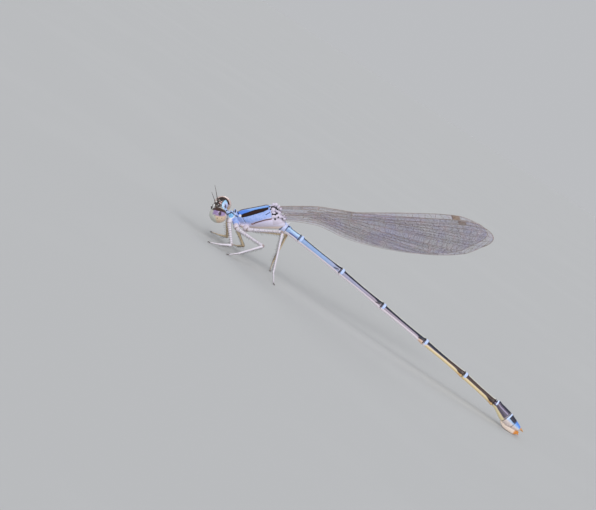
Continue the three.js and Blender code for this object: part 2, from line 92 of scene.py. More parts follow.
# along the back, depth of the back, depth of the breast, half width
THORAX_SECTIONS = (
    (0.0, 0.12, 1.3, 0.56),
    (0.35, 0.02, 1.62, 0.84),
    (0.9, 0.0, 1.86, 1.02),
    (1.6, 0.0, 2.04, 1.12),
    (2.4, 0.0, 2.2, 1.16),
    (3.0, 0.02, 2.34, 1.12),
    (3.45, 0.3, 2.44, 1.02),
    (3.9, 0.86, 2.5, 0.86),
    (4.3, 1.5, 2.4, 0.6),
)
PROTHORAX_SECTIONS = (
    (-1.02, 0.14, 0.62, 0.24),
    (-0.86, -0.13, 0.82, 0.42),
    (-0.7, -0.04, 0.9, 0.5),
    (-0.54, -0.13, 0.92, 0.54),
    (-0.38, -0.02, 0.88, 0.5),
    (-0.2, -0.23, 0.78, 0.48),
    (0.02, 0.1, 0.7, 0.4),
)

# The pale plates round the wing bases of one side: along, down and out from the ridge line, and radius.
HINGE_KNOBS = (
    (3.3, 0.21, 0.36, 0.12),
    (3.51, 0.07, 0.2, 0.14),
    (3.75, 0.15, 0.15, 0.19),
    (3.97, 0.39, 0.3, 0.14),
    (4.14, 0.6, 0.38, 0.12),
    (3.46, 0.54, 0.6, 0.18),
    (3.47, 0.84, 0.8, 0.17),
    (3.62, 1.21, 0.9, 0.14),
    (3.98, 0.92, 0.62, 0.17),
    (3.78, 0.72, 0.62, 0.14),
    (4.2, 1.34, 0.8, 0.11),
    (4.4, 1.28, 0.82, 0.09),
    (4.36, 1.56, 0.76, 0.15),
    (4.08, 1.76, 0.66, 0.13),
    (3.82, 1.52, 0.8, 0.15),
)
# Spots of painted shade between them: along, down and radius.
HINGE_SHADE_SPOTS = (
    (3.15, 0.18, 0.07),
    (3.22, 0.42, 0.08),
    (3.86, 0.57, 0.08),
    (3.62, 1.0, 0.09),
    (3.5, 1.42, 0.1),
    (3.84, 1.29, 0.08),
    (4.24, 1.18, 0.08),
    (4.17, 1.54, 0.08),
)
# The pale plates of the collar stand between black strokes, each from one place to another with a half width.
COLLAR_STROKES = (
    (-0.95, 0.18, -0.5, 0.05, 0.05),
    (-0.8, -0.14, -0.72, -0.16, 0.055),
    (-0.99, -0.18, -0.93, -0.2, 0.05),
    (-0.34, -0.1, -0.3, 0.02, 0.05),
    (-0.08, -0.28, -0.16, 0.12, 0.055),
    (-0.44, 0.12, -0.28, 0.36, 0.04),
    (0.04, 0.2, 0.12, 0.32, 0.05),
    (-0.16, 0.44, -0.04, 0.56, 0.05),
)
# The blue plate among them: along, down and radius.
COLLAR_BLUE = (-0.6, 0.36, 0.22)
COXA_RADII = {"fore": 0.27, "mid": 0.3, "hind": 0.35}

# x and z of the ends of the first seven segments
ABDOMEN_JOINTS = (
    (-29.25, 4.78),
    (-28.6, 4.72),
    (-27.04, 4.62),
    (-22.08, 4.13),
    (-16.97, 3.51),
    (-11.73, 2.86),
    (-6.86, 2.25),
    (-2.96, 1.6),
)
# radius at the front, middle and rear of each segment
ABDOMEN_RADII = (
    (0.46, 0.48, 0.45),
    (0.43, 0.38, 0.4),
    (0.4, 0.33, 0.39),
    (0.38, 0.31, 0.37),
    (0.36, 0.295, 0.35),
    (0.35, 0.3, 0.36),
    (0.36, 0.33, 0.38),
)
# top and bottom of each section of the tail as x and z, and its half width
TAIL_SECTIONS = (
    (-3.1, 1.84, -3.14, 1.38, 0.22),
    (-2.86, 1.93, -2.9, 1.24, 0.35),
    (-2.7, 2.03, -2.76, 1.2, 0.38),
    (-2.2, 1.93, -2.38, 0.98, 0.42),
    (-1.7, 1.83, -1.98, 0.74, 0.48),
    (-1.14, 1.7, -1.56, 0.52, 0.53),
    (-0.9, 1.64, -1.3, 0.44, 0.55),
    (-0.6, 1.5, -0.95, 0.38, 0.56),
    (-0.3, 1.38, -0.6, 0.38, 0.53),
    (-0.05, 1.27, -0.3, 0.42, 0.47),
    (0.22, 1.13, 0.05, 0.46, 0.4),
    (0.42, 1.0, 0.36, 0.54, 0.31),
    (0.5, 0.9, 0.47, 0.64, 0.18),
)
TAIL_JOINTS = (-1.02, -0.19)
# the way of the small pegs over the second segment: across, to the side and up
PEG_LEAN = ((0.94, 0.0, -0.34), (0.0, 1.0, 0.0), (0.34, 0.0, 0.94))

# each leg's root, hip, knee, ankle and claws
LEG_POINTS = {
    "fore_left": (
        (-33.56, -0.4, 2.62), (-33.45, -0.75, 2.28), (-32.05, -2.6, 0.9), (-33.05, -2.95, 0.4),
        (-33.95, -3.25, 0.08),
    ),
    "fore_right": (
        (-33.66, 0.4, 2.56), (-33.75, 0.75, 2.2), (-33.05, 2.1, 0.72), (-33.8, 2.75, 0.36),
        (-34.65, 3.4, 0.08),
    ),
    "mid_left": (
        (-32.86, -0.52, 2.54), (-32.6, -0.92, 2.27), (-29.5, -2.5, 2.45), (-31.05, -3.15, 0.72),
        (-31.85, -3.45, 0.08),
    ),
    "mid_right": (
        (-32.95, 0.52, 2.5), (-32.9, 0.92, 2.24), (-31.25, 2.35, 0.8), (-31.8, 3.05, 0.36),
        (-32.5, 3.8, 0.08),
    ),
    "hind_left": (
        (-32.02, -0.55, 2.8), (-31.66, -0.98, 2.75), (-28.72, -2.0, 4.5), (-27.4, -2.95, 1.0),
        (-26.76, -3.25, 0.08),
    ),
    "hind_right": (
        (-32.02, 0.55, 2.76), (-31.62, 0.98, 2.64), (-28.3, 1.65, 4.05), (-28.0, 2.6, 1.0),
        (-27.8, 2.95, 0.08),
    ),
}

WINGS = {
    "forewing": {
        "root": (-30.16, 5.85),
        "angle": 26.1,
        "right_droop": 0.1,
        "y": (0.37, 0.37, 3.0),
        "length": 20.45,
        "costa": (
            (0, 0.34), (1.8, 0.58), (3.7, 0.76), (5.3, 0.72), (7.5, 0.64), (10, 0.72), (14, 0.95),
            (17, 1.12), (18.8, 1.0), (19.6, 0.7),
        ),
        "margin": (
            (0, -0.2), (2, -0.24), (3.4, -0.36), (4.4, -0.66), (6, -1.25), (8, -1.8), (10.5, -2.25),
            (13, -2.45), (15.3, -2.4), (16.9, -2.2), (18.4, -1.8), (19.5, -1.15),
        ),
    },
    "hindwing": {
        "root": (-29.5, 5.52),
        "angle": 29.0,
        "right_droop": 0.7,
        "y": (0.8, 1.11, 1.8),
        "length": 19.35,
        "costa": (
            (0, 0.24), (1.8, 0.4), (4.4, 0.7), (8.2, 1.0), (12, 1.28), (15.2, 1.42), (17, 1.3),
            (18.4, 0.82),
        ),
        "margin": (
            (0, -0.26), (1.4, -0.3), (2.65, -0.4), (3.5, -0.54), (4.5, -0.9), (5.5, -1.32), (7, -1.76),
            (9, -2.13), (11.3, -2.4), (13.2, -2.46), (15.1, -2.32), (17.2, -1.84), (18.5, -1.1),
        ),
    },
}
# The long veins from the hind margin to the front edge. Each has its points as shares of the wing's length
# and width, the vein that it leaves, and its half thickness in millimetres at its root and its end.
LONG_VEINS = (
    ("hind_margin", ((0, 0), (1, 0)), None, (0.022, 0.018)),
    ("cubitus", ((0, 0.22), (0.2, 0.2), (0.32, 0.12), (0.42, 0.04), (0.5, 0.0)), None, (0.024, 0.014)),
    (
        "rear_media", ((0.17, 0.3), (0.22, 0.3), (0.35, 0.24), (0.5, 0.13), (0.66, 0.0)), "cubitus",
        (0.022, 0.013),
    ),
    ("added_media", ((0.42, 0.25), (0.5, 0.2), (0.6, 0.13), (0.74, 0.0)), "rear_media", (0.014, 0.01)),
    (
        "front_media", ((0.13, 0.46), (0.25, 0.42), (0.4, 0.36), (0.6, 0.22), (0.8, 0.0)), "rear_media",
        (0.028, 0.014),
    ),
    ("added_radial", ((0.5, 0.37), (0.62, 0.28), (0.76, 0.14), (0.87, 0.0)), "front_media", (0.014, 0.01)),
    (
        "third_radial", ((0.33, 0.64), (0.5, 0.47), (0.7, 0.29), (0.86, 0.1), (0.93, 0.0)),
        "front_media", (0.026, 0.014),
    ),
    (
        "second_between", ((0.34, 0.7), (0.6, 0.55), (0.8, 0.36), (0.94, 0.14), (0.98, 0.0)),
        "third_radial", (0.022, 0.012),
    ),
    (
        "outer_between", ((0.62, 0.56), (0.78, 0.46), (0.9, 0.32), (1.0, 0.16)), "second_between",
        (0.014, 0.01),
    ),
    (
        "second_radial", ((0.5, 0.75), (0.75, 0.62), (0.9, 0.48), (1.0, 0.36)), "second_between",
        (0.024, 0.013),
    ),
    ("first_between", ((0.56, 0.77), (0.8, 0.7), (1.0, 0.57)), "second_radial", (0.016, 0.01)),
    (
        "first_radial",
        ((0.13, 0.5), (0.25, 0.6), (0.35, 0.73), (0.6, 0.79), (0.85, 0.79), (1.0, 0.76)), "front_media",
        (0.026, 0.016),
    ),
    (
        "radius", ((0, 0.64), (0.2, 0.76), (0.35, 0.87), (0.6, 0.88), (0.85, 0.885), (1.0, 0.92)), None,
        (0.032, 0.022),
    ),
    ("subcosta", ((0, 0.84), (0.2, 0.88), (0.34, 0.985), (0.352, 1.0)), None, (0.024, 0.018)),
    ("costa", ((0, 1), (1, 1)), None, (0.034, 0.026)),
)
STIGMA = (0.862, 0.9)  # from where to where the dark cell lies, as shares of the wing's length
NODUS = 0.352  # where the notch of the front edge lies
VEIN_NAMES = [vein[0] for vein in LONG_VEINS]
RADIUS = VEIN_NAMES.index("radius")
WING_STATIONS = 110
STRIP_STEPS = 3  # strips of membrane between two long veins
CROSS_SPACING = 0.55
CROSS_HALF = 0.0095
VEIN_SHARE = 0.7  # of the half thickness listed above
MEMBRANE_HALF = 0.008
OUTLINE_INSET = 0.03
PLEAT = 0.055
SPINE_SEED = 3

# The photo's camera, set round the model, and its lens and sensor in millimetres
CAMERA_AIM = np.array([-26.33, 0.0, 3.23])
CAMERA_RISE = math.radians(7)
CAMERA_ROLL = math.radians(33)
CAMERA_REACH = 157.7
LENS = 100
SENSOR = 36

WORLD_COLOUR = (0.5, 0.51, 0.53)
# strength, width in degrees and turn in degrees of each broad lamp
SUNS = (
    ("side_fill", 1.15, 50, (76, -6, 0)),
    ("high_front", 0.85, 24, (42, -14, 0)),
    ("high_right", 0.5, 40, (24, 38, 0)),
    ("behind", 0.5, 30, (-50, -10, 0)),
)


# Shape helpers
def step(low, high, value):
    t = np.clip((np.asarray(value, float) - low) / (high - low), 0, 1)
    return t * t * (3 - 2 * t)


def through(places, rows, at):
    """Numbers read off a smooth curve through rows of numbers at given places."""
    places = np.asarray(places, float)
    rows = np.asarray(rows, float)
    at = np.atleast_1d(np.asarray(at, float))
    slopes = np.gradient(rows, places, axis=0)
    i = np.clip(np.searchsorted(places, at, side="right") - 1, 0, len(places) - 2)
    span = places[i + 1] - places[i]
    t = np.clip((at - places[i]) / span, 0, 1)
    if rows.ndim > 1:
        span, t = span[:, None], t[:, None]
    start = (1 + 2 * t) * (1 - t) ** 2 * rows[i] + t * (1 - t) ** 2 * span * slopes[i]
    return start + t * t * (3 - 2 * t) * rows[i + 1] + t * t * (t - 1) * span * slopes[i + 1]


def unit(vector):
    vector = np.asarray(vector, float)
    return vector / np.linalg.norm(vector, axis=-1, keepdims=True)


def hill(value, at, spread):
    """One at a place and falling off on both sides of it."""
    return np.exp(-(((value - at) / spread) ** 2))


def lengths_along(path):
    return np.concatenate([[0], np.cumsum(np.linalg.norm(np.diff(path, axis=0), axis=1))])


def ring_skin(rings):
    """Points and faces of a closed skin over rings, with a point at the middle of each end."""
    rings = np.asarray(rings, float)
    rows, columns = rings.shape[:2]
    points = np.vstack([rings.reshape(-1, 3), rings[0].mean(axis=0), rings[-1].mean(axis=0)])
    row = np.arange(rows - 1)[:, None] * columns
    here = np.arange(columns)[None, :]
    after = (here + 1) % columns
    sides = np.stack([row + here, row + after, row + columns + after, row + columns + here], axis=-1)
    faces = sides.reshape(-1, 4).tolist()
    last = (rows - 1) * columns
    for i in range(columns):
        j = (i + 1) % columns
        faces.append((rows * columns, j, i))
        faces.append((rows * columns + 1, last + i, last + j))
    return points, faces


def limb_rings(path, radii, sides=20, side_way=(0, 1, 0)):
    """Rings square to a path, each with its first point towards the side way."""
    path = np.asarray(path, float)
    radii = np.asarray(radii, float)
    ways = unit(np.gradient(path, axis=0))
    across = np.asarray(side_way, float)
    rings = []
    for point, way, radius in zip(path, ways, radii):
        across = unit(across - way * across.dot(way))
        other = np.cross(way, across)
        turn = np.linspace(0, 2 * math.pi, sides, endpoint=False)[:, None]
        rings.append(point + radius * (np.cos(turn) * across + np.sin(turn) * other))
    return np.array(rings)


def ball(middle, radii, basis=np.eye(3), rows=16, columns=24):
    """A ball with its poles closed, its radii along the basis rows."""
    tilt = np.linspace(0, math.pi, rows + 1)[1:-1][:, None]
    turn = np.linspace(0, 2 * math.pi, columns, endpoint=False)[None, :]
    round_tilt = [np.cos(tilt) + 0 * turn, np.sin(tilt) * np.cos(turn), np.sin(tilt) * np.sin(turn)]
    shape = np.stack(round_tilt, axis=-1)
    points = (shape * np.asarray(radii)).reshape(-1, 3)
    ends = np.array([[radii[0], 0, 0], [-radii[0], 0, 0]])
    skin, faces = ring_skin(points.reshape(rows - 1, columns, 3))
    skin[-2:] = ends
    return skin @ np.asarray(basis) + np.asarray(middle), faces


def mesh_of(name, points, faces):
    mesh = bpy.data.meshes.new(name)
    mesh.from_pydata(np.asarray(points).tolist(), [], faces)
    mesh.update()
    return mesh


def read_points(mesh):
    values = np.empty(len(mesh.vertices) * 3)
    mesh.vertices.foreach_get("co", values)
    return values.reshape(-1, 3)


def read_normals(mesh):
    values = np.empty(len(mesh.vertices) * 3, dtype=np.float32)
    mesh.vertex_normals.foreach_get("vector", values)
    return values.reshape(-1, 3).astype(float)


def joined(parts):
    """The points and faces of several parts as one."""
    points = []
    faces = []
    for part_points, part_faces in parts:
        start = sum(len(p) for p in points)
        points.append(part_points)
        faces.extend([tuple(start + i for i in face) for face in part_faces])
    return np.vstack(points), faces


def fuse(name, parts, voxel, smoothing):
    """One skin over closed parts that overlap, worked in millimetres, as a mesh."""
    blank = bpy.data.objects.new(name, mesh_of(name, *joined(parts)))
    bpy.context.scene.collection.objects.link(blank)
    remesh = blank.modifiers.new("skin", "REMESH")
    remesh.mode = "VOXEL"
    remesh.voxel_size = voxel
    ease = blank.modifiers.new("ease", "SMOOTH")
    ease.factor = 0.5
    ease.iterations = smoothing
    shaped = bpy.data.meshes.new_from_object(blank.evaluated_get(bpy.context.evaluated_depsgraph_get()))
    bpy.data.objects.remove(blank)
    return shaped


def place(mesh, points):
    """Moves a mesh's points to places given in millimetres."""
    mesh.vertices.foreach_set("co", (points * MM + ORIGIN).ravel())
    mesh.update()


def piece(name, mesh, material, nodes=(), fields=None):
    """A finished piece on the body, smooth, with its marking fields, standing for its solids."""
    for label, values in (fields or {}).items():
        layer = mesh.attributes.new(label, "FLOAT", "POINT")
        layer.data.foreach_set("value", np.asarray(values, dtype=np.float32))
    mesh.polygons.foreach_set("use_smooth", [True] * len(mesh.polygons))
    mesh.materials.clear()
    mesh.materials.append(material)
    mesh.name = name
    made = bpy.data.objects.new(name, mesh)
    bpy.context.scene.collection.objects.link(made)
    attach(made, "root")
    if nodes:
        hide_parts(*nodes)


def grid_mesh(name, parts):
    """One mesh in metres from closed parts in millimetres."""
    points, faces = joined(parts)
    return mesh_of(name, points * MM + ORIGIN, faces)


def with_ends(fields):
    """Fields of a ring skin with the values of its two end points added."""
    return {key: np.append(values, values[[0, -1]]) for key, values in fields.items()}


# Materials
class Finish:
    """A surface whose markings are laid over a base colour where a field of the piece says so."""

    def __init__(self, name, base, rough=0.35, coat=0.0):
        self.material = bpy.data.materials.new(name)
        self.material.use_nodes = True
        self.nodes = self.material.node_tree.nodes
        self.links = self.material.node_tree.links
        self.shader = self.nodes["Principled BSDF"]
        self.shader.inputs["Roughness"].default_value = rough
        self.shader.inputs["Coat Weight"].default_value = coat
        self.shader.inputs["Coat Roughness"].default_value = 0.12
        self.shader.inputs["Specular IOR Level"].default_value = 0.25
        self.place = self.nodes.new("ShaderNodeTexCoord").outputs["Object"]
        plain = self.nodes.new("ShaderNodeRGB")
        plain.outputs[0].default_value = (*base, 1)
        self.colour = plain.outputs[0]

    def noise(self, size, detail=3.0):
        made = self.nodes.new("ShaderNodeTexNoise")
        made.inputs["Scale"].default_value = 1 / (size * MM)
        made.inputs["Detail"].default_value = detail
        made.inputs["Roughness"].default_value = 0.55
        self.links.new(self.place, made.inputs["Vector"])
        return made.outputs["Fac"]

    def field(self, name):
        made = self.nodes.new("ShaderNodeAttribute")
        made.attribute_name = name
        return made.outputs["Fac"]

    def math(self, operation, first, second):
        made = self.nodes.new("ShaderNodeMath")
        made.operation = operation
        for socket, value in zip(made.inputs, (first, second)):
            if isinstance(value, (int, float)):
                socket.default_value = value
            else:
                self.links.new(value, socket)
        return made.outputs[0]

    def ramp(self, value, low, high, out_low, out_high):
        made = self.nodes.new("ShaderNodeMapRange")
        made.interpolation_type = "SMOOTHSTEP"
        made.inputs["From Min"].default_value = low
        made.inputs["From Max"].default_value = high
        made.inputs["To Min"].default_value = out_low
        made.inputs["To Max"].default_value = out_high
        self.links.new(value, made.inputs["Value"])
        return made.outputs["Result"]

    def over(self, mask, colour):
        """Lays a colour over the rest where the mask is one."""
        mix = self.nodes.new("ShaderNodeMix")
        mix.data_type = "RGBA"
        self.links.new(mask, mix.inputs["Factor"])
        self.links.new(self.colour, mix.inputs[6])
        mix.inputs[7].default_value = (*colour, 1)
        self.colour = mix.outputs[2]

    def marking(self, name, colour, edge=0.03, wander=0.03, strength=1.0):
        """A marking where the field, in millimetres inside its edge, is above nothing."""
        drift = self.math("MULTIPLY", self.math("SUBTRACT", self.noise(0.12), 0.5), 2 * wander)
        depth = self.math("ADD", self.field(name), drift)
        self.over(self.ramp(depth, -edge, edge, 0.0, strength), colour)

    def mottle(self, size, colour, strength, low=0.45, high=0.65):
        self.over(self.ramp(self.noise(size), low, high, 0.0, strength), colour)

    def finish(self, grain=0.03, height=0.004, rough_low=None, rough_high=None, cells=None):
        self.links.new(self.colour, self.shader.inputs["Base Color"])
        if rough_low is not None:
            shade = self.ramp(self.noise(0.09), 0.3, 0.7, rough_low, rough_high)
            self.links.new(shade, self.shader.inputs["Roughness"])
        if cells:
            facets = self.nodes.new("ShaderNodeTexVoronoi")
            facets.inputs["Scale"].default_value = 1 / (cells * MM)
            self.links.new(self.place, facets.inputs["Vector"])
            relief = facets.outputs["Distance"]
        else:
            relief = self.noise(grain, detail=4.0)
        bump = self.nodes.new("ShaderNodeBump")
        bump.inputs["Strength"].default_value = 0.35
        bump.inputs["Distance"].default_value = height * MM
        self.links.new(relief, bump.inputs["Height"])
        self.links.new(bump.outputs["Normal"], self.shader.inputs["Normal"])
        return self.material


def rgb(*levels):
    """A colour given as on a screen, from 0 to 255, in linear light."""
    shares = [level / 255 for level in levels]
    return tuple(s / 12.92 if s <= 0.04 else ((s + 0.055) / 1.055) ** 2.4 for s in shares)


INK = rgb(12, 9, 12)
BROWN = rgb(16, 8, 4)
SKY = rgb(112, 162, 240)
PERIWINKLE = rgb(142, 168, 226)
LILAC = rgb(226, 220, 242)
CYAN = rgb(160, 204, 238)


def thorax_finish():
    made = Finish("thorax_shell", PERIWINKLE, rough=0.4, coat=0.08)
    made.mottle(0.35, rgb(160, 182, 236), 0.6)
    made.marking("lower_side", LILAC, edge=0.25)
    made.mottle(0.14, rgb(206, 206, 238), 0.3)
    made.marking("breast", rgb(240, 222, 214), edge=0.12)
    made.marking("shoulder_stripe", SKY, edge=0.03)
    made.marking("stripe_light", rgb(150, 190, 240), edge=0.03, strength=0.8)
    made.marking("stripe_glow", rgb(64, 118, 226), edge=0.12, strength=0.7)
    made.marking("dark_stripe", BROWN, edge=0.025)
    made.marking("dark_core", rgb(66, 24, 10), edge=0.05, wander=0.06, strength=0.4)
    made.marking("back_line", rgb(64, 44, 34), edge=0.03)
    made.marking("seam_edge", rgb(206, 170, 178), edge=0.04, strength=0.7)
    made.marking("seams", rgb(46, 22, 30), edge=0.02, wander=0.02)
    made.marking("spiracle", rgb(150, 112, 104), edge=0.04)
    made.marking("hinge_pale", rgb(206, 198, 216), edge=0.04, wander=0.06)
    # Black in the listed spots and in the crevices between the hinge plates: painted shade.
    made.marking("hinge_shade", INK, edge=0.03, wander=0.05)
    made.marking("coxae", rgb(204, 194, 206), edge=0.05)
    made.marking("collar_pale", rgb(172, 190, 228), edge=0.06, wander=0.06)
    made.marking("collar_blue", rgb(124, 180, 226), edge=0.06)
    made.marking("collar_rim", rgb(232, 234, 244), edge=0.02)
    made.marking("collar_dark", INK, edge=0.025, wander=0.05)
    made.marking("front_blob", rgb(238, 236, 244), edge=0.05)
    return made.finish(grain=0.025, height=0.006, rough_low=0.32, rough_high=0.5)


def head_finish():
    made = Finish("head_shell", rgb(28, 18, 16), rough=0.4, coat=0.1)
    made.mottle(0.16, rgb(70, 44, 36), 0.7)
    made.marking("crown_streaks", rgb(112, 82, 74), edge=0.05, wander=0.08, strength=0.6)
    # White blobs on the front of the head: the pale face, with painted highlights where it is whitest.
    made.marking("face", rgb(226, 226, 226), edge=0.03, wander=0.05)
    made.marking("lip", rgb(222, 208, 188), edge=0.05)
    made.marking("rear_pale", rgb(186, 194, 232), edge=0.05)
    made.marking("rear_band", CYAN, edge=0.035)
    made.marking("rear_dark", INK, edge=0.05)
    made.marking("under", rgb(214, 200, 186), edge=0.1)
    made.marking("head_lines", INK, edge=0.018, wander=0.02)
    made.marking("crown_pale", rgb(206, 200, 190), edge=0.03, wander=0.05)
    return made.finish(grain=0.02, height=0.006, rough_low=0.28, rough_high=0.5)


def eye_finish():
    made = Finish("eye_glaze", rgb(212, 192, 166), rough=0.16, coat=0.5)
    made.mottle(0.22, rgb(222, 180, 164), 0.6)
    made.mottle(0.12, rgb(186, 160, 130), 0.4)
    made.marking("front_green", rgb(190, 192, 182), edge=0.16, wander=0.08)
    made.marking("lilac_band", rgb(144, 122, 166), edge=0.11, wander=0.08)
    made.marking("pale_streak", rgb(206, 178, 190), edge=0.04)
    # A pale rim under the dark cap of the right eye only: a painted highlight.
    made.marking("rim_highlight", rgb(206, 182, 176), edge=0.06, wander=0.05)
    made.marking("cap", rgb(58, 34, 22), edge=0.05, wander=0.06)
    made.marking("spots", rgb(112, 110, 88), edge=0.03)
    made.marking("pupil_glow", rgb(84, 42, 84), edge=0.06)
    made.marking("pupil", rgb(24, 10, 16), edge=0.04)
    return made.finish(cells=0.028, height=0.0035)


def abdomen_finish():
    made = Finish("abdomen_shell", rgb(160, 158, 184), rough=0.25, coat=0.2)
    made.mottle(0.3, rgb(138, 144, 172), 0.5)
    made.marking("blue_front", rgb(140, 166, 210), edge=1.4)
    made.marking("pink_middle", rgb(160, 146, 162), edge=1.4)
    made.marking("cream_rear", rgb(204, 178, 140), edge=1.0)
    # A light cyan band on the upper side of the second segment: a painted highlight.
    made.marking("painted_highlight_band", rgb(182, 212, 242), edge=0.07)
    made.marking("ticks", rgb(104, 100, 128), edge=0.008, wander=0.008, strength=0.6)
    made.marking("belly", rgb(242, 232, 240), edge=0.05)
    made.marking("belly_rear", rgb(244, 222, 176), edge=0.07)
    made.marking("streak", rgb(58, 46, 120), edge=0.04, strength=0.85)
    made.marking("amber", rgb(232, 178, 112), edge=0.14, strength=0.65)
    made.marking("back", rgb(30, 34, 52), edge=0.03, wander=0.03)
    made.marking("back_brown", rgb(70, 52, 46), edge=0.06, strength=0.8)
    made.marking("fork", rgb(40, 30, 34), edge=0.02, wander=0.03)
    # A pale line along the top of the abdomen: a painted highlight.
    made.marking("ridge", rgb(206, 206, 196), edge=0.02, strength=0.9)
    made.marking("first_white", rgb(196, 204, 240), edge=0.02)
    made.marking("first_dark", rgb(40, 34, 60), edge=0.02, strength=0.8)
    made.marking("blue_spot", rgb(26, 44, 120), edge=0.03)
    made.marking("rear_ring", rgb(20, 16, 24), edge=0.025, wander=0.03)
    made.marking("front_ring", rgb(186, 206, 248), edge=0.025, wander=0.02)
    made.marking("joint", rgb(30, 24, 28), edge=0.015, wander=0.01)
    return made.finish(grain=0.035, height=0.004, rough_low=0.2, rough_high=0.34)


def tail_finish():
    made = Finish("tail_shell", rgb(222, 206, 200), rough=0.25, coat=0.3)
    made.mottle(0.16, rgb(240, 226, 226), 0.5)
    made.marking("tail_side", rgb(82, 74, 92), edge=0.08, wander=0.08)
    made.marking("tail_streak", rgb(168, 156, 186), edge=0.04, wander=0.06, strength=0.8)
    made.marking("tail_blue", rgb(150, 190, 234), edge=0.2, wander=0.14)
    made.marking("tail_sky", rgb(84, 136, 222), edge=0.16, wander=0.1)
    made.marking("tail_cream", rgb(236, 220, 176), edge=0.08)
    made.marking("tail_back", rgb(30, 32, 54), edge=0.05)
    made.marking("tail_ring", rgb(196, 214, 250), edge=0.03)
    made.marking("tail_joint", rgb(40, 30, 30), edge=0.02, wander=0.01)
    return made.finish(grain=0.03, height=0.005, rough_low=0.2, rough_high=0.36)


def plain_finish(name, base, second, rough=0.35, coat=0.2, alpha=1.0):
    made = Finish(name, base, rough=rough, coat=coat)
    made.mottle(0.1, second, 0.7)
    made.shader.inputs["Alpha"].default_value = alpha
    return made.finish(rough_low=rough - 0.08, rough_high=rough + 0.1)


def leg_finish():
    made = Finish("leg_shell", rgb(226, 206, 170), rough=0.35, coat=0.15)
    made.mottle(0.2, rgb(200, 174, 138), 0.6)
    made.marking("outer", rgb(216, 210, 222), edge=0.06)
    made.mottle(0.16, rgb(190, 176, 168), 0.4)
    made.marking("dark_line", rgb(36, 26, 28), edge=0.02, wander=0.02)
    made.marking("ticks", rgb(84, 70, 76), edge=0.012, wander=0.01, strength=0.8)
    made.marking("knees", rgb(120, 92, 76), edge=0.05, strength=0.7)
    made.marking("claws", rgb(60, 38, 28), edge=0.05)
    return made.finish(grain=0.03, height=0.005, rough_low=0.28, rough_high=0.45)


def membrane_finish():
    made = Finish("wing_membrane", rgb(150, 146, 156), rough=0.16)
    # Violet, pink and rare blue mottles on the membrane: painted iridescent sheen.
    made.mottle(1.6, rgb(128, 122, 170), 0.8, 0.4, 0.6)
    made.mottle(0.7, rgb(184, 150, 158), 0.6, 0.5, 0.7)
    made.mottle(0.45, rgb(40, 70, 230), 0.9, 0.7, 0.74)
    made.shader.inputs["Alpha"].default_value = 0.12
    made.shader.inputs["IOR"].default_value = 1.56
    return made.finish(grain=0.2, height=0.01)


def vein_finish():
    made = Finish("wing_vein", rgb(150, 140, 132), rough=0.35, coat=0.1)
    made.mottle(0.8, rgb(176, 154, 152), 0.7, 0.45, 0.6)
    made.mottle(0.25, rgb(108, 98, 94), 0.5)
    return made.finish(grain=0.05, height=0.004)


# Body places
BACK_WAY = np.array([math.cos(THORAX_SLOPE), 0, math.sin(THORAX_SLOPE)])
BREAST_WAY = np.array([math.sin(THORAX_SLOPE), 0, -math.cos(THORAX_SLOPE)])


def on_thorax(along, down, y):
    return THORAX_FRONT + along * BACK_WAY + down * BREAST_WAY + np.array([0, y, 0])


def in_thorax(points):
    """How far along the back, how far below its ridge line and how far to the side each point lies."""
    offset = points - THORAX_FRONT
    return offset @ BACK_WAY, offset @ BREAST_WAY, points[:, 1]


def head_axes():
    forward = np.array([-math.cos(HEAD_PITCH), 0, math.sin(HEAD_PITCH)])
    upright = np.array([math.sin(HEAD_PITCH), 0, math.cos(HEAD_PITCH)])
    left = np.array([0, -1.0, 0])
    up = upright * math.cos(HEAD_ROLL) + left * math.sin(HEAD_ROLL)
    out = left * math.cos(HEAD_ROLL) - upright * math.sin(HEAD_ROLL)
    return np.array([forward, up, out])


HEAD_AXES = head_axes()


def on_head(forward, up, left):
    return HEAD_MIDDLE + np.array([forward, up, left]) @ HEAD_AXES


def trunk_rings(sections, keel, rows, columns):
    sections = np.asarray(sections, float)
    at = np.linspace(sections[0, 0], sections[-1, 0], rows)
    read = through(sections[:, 0], sections[:, 1:], at)
    turn = np.linspace(0, 2 * math.pi, columns, endpoint=False)
    across = np.sin(turn)
    down = -np.cos(turn)
    narrow = np.where(down < 0, 1 - keel * down**2, 1 - 0.16 * down**2)
    rings = []
    for along, (back, breast, half) in zip(at, read):
        depth = (back + breast) / 2 + (breast - back) / 2 * down
        rings.append([on_thorax(along, d, half * a * n) for d, a, n in zip(depth, across, narrow)])
    return rings


# Thorax
def wing_ways(wing, side):
    angle = math.radians(wing["angle"] - (wing["right_droop"] if side > 0 else 0))
    way = np.array([math.cos(angle), 0, math.sin(angle)])
    return way, np.array([-way[2], 0, way[0]])


def wing_root(wing, side, along, rise):
    way, up = wing_ways(wing, side)
    root = np.array([wing["root"][0], side * wing["y"][0], wing["root"][1]])
    return root + along * way + rise * up




def coxa_middle(points):
    root, hip = np.array(points[0]), np.array(points[1])
    return root + 0.55 * (hip - root)


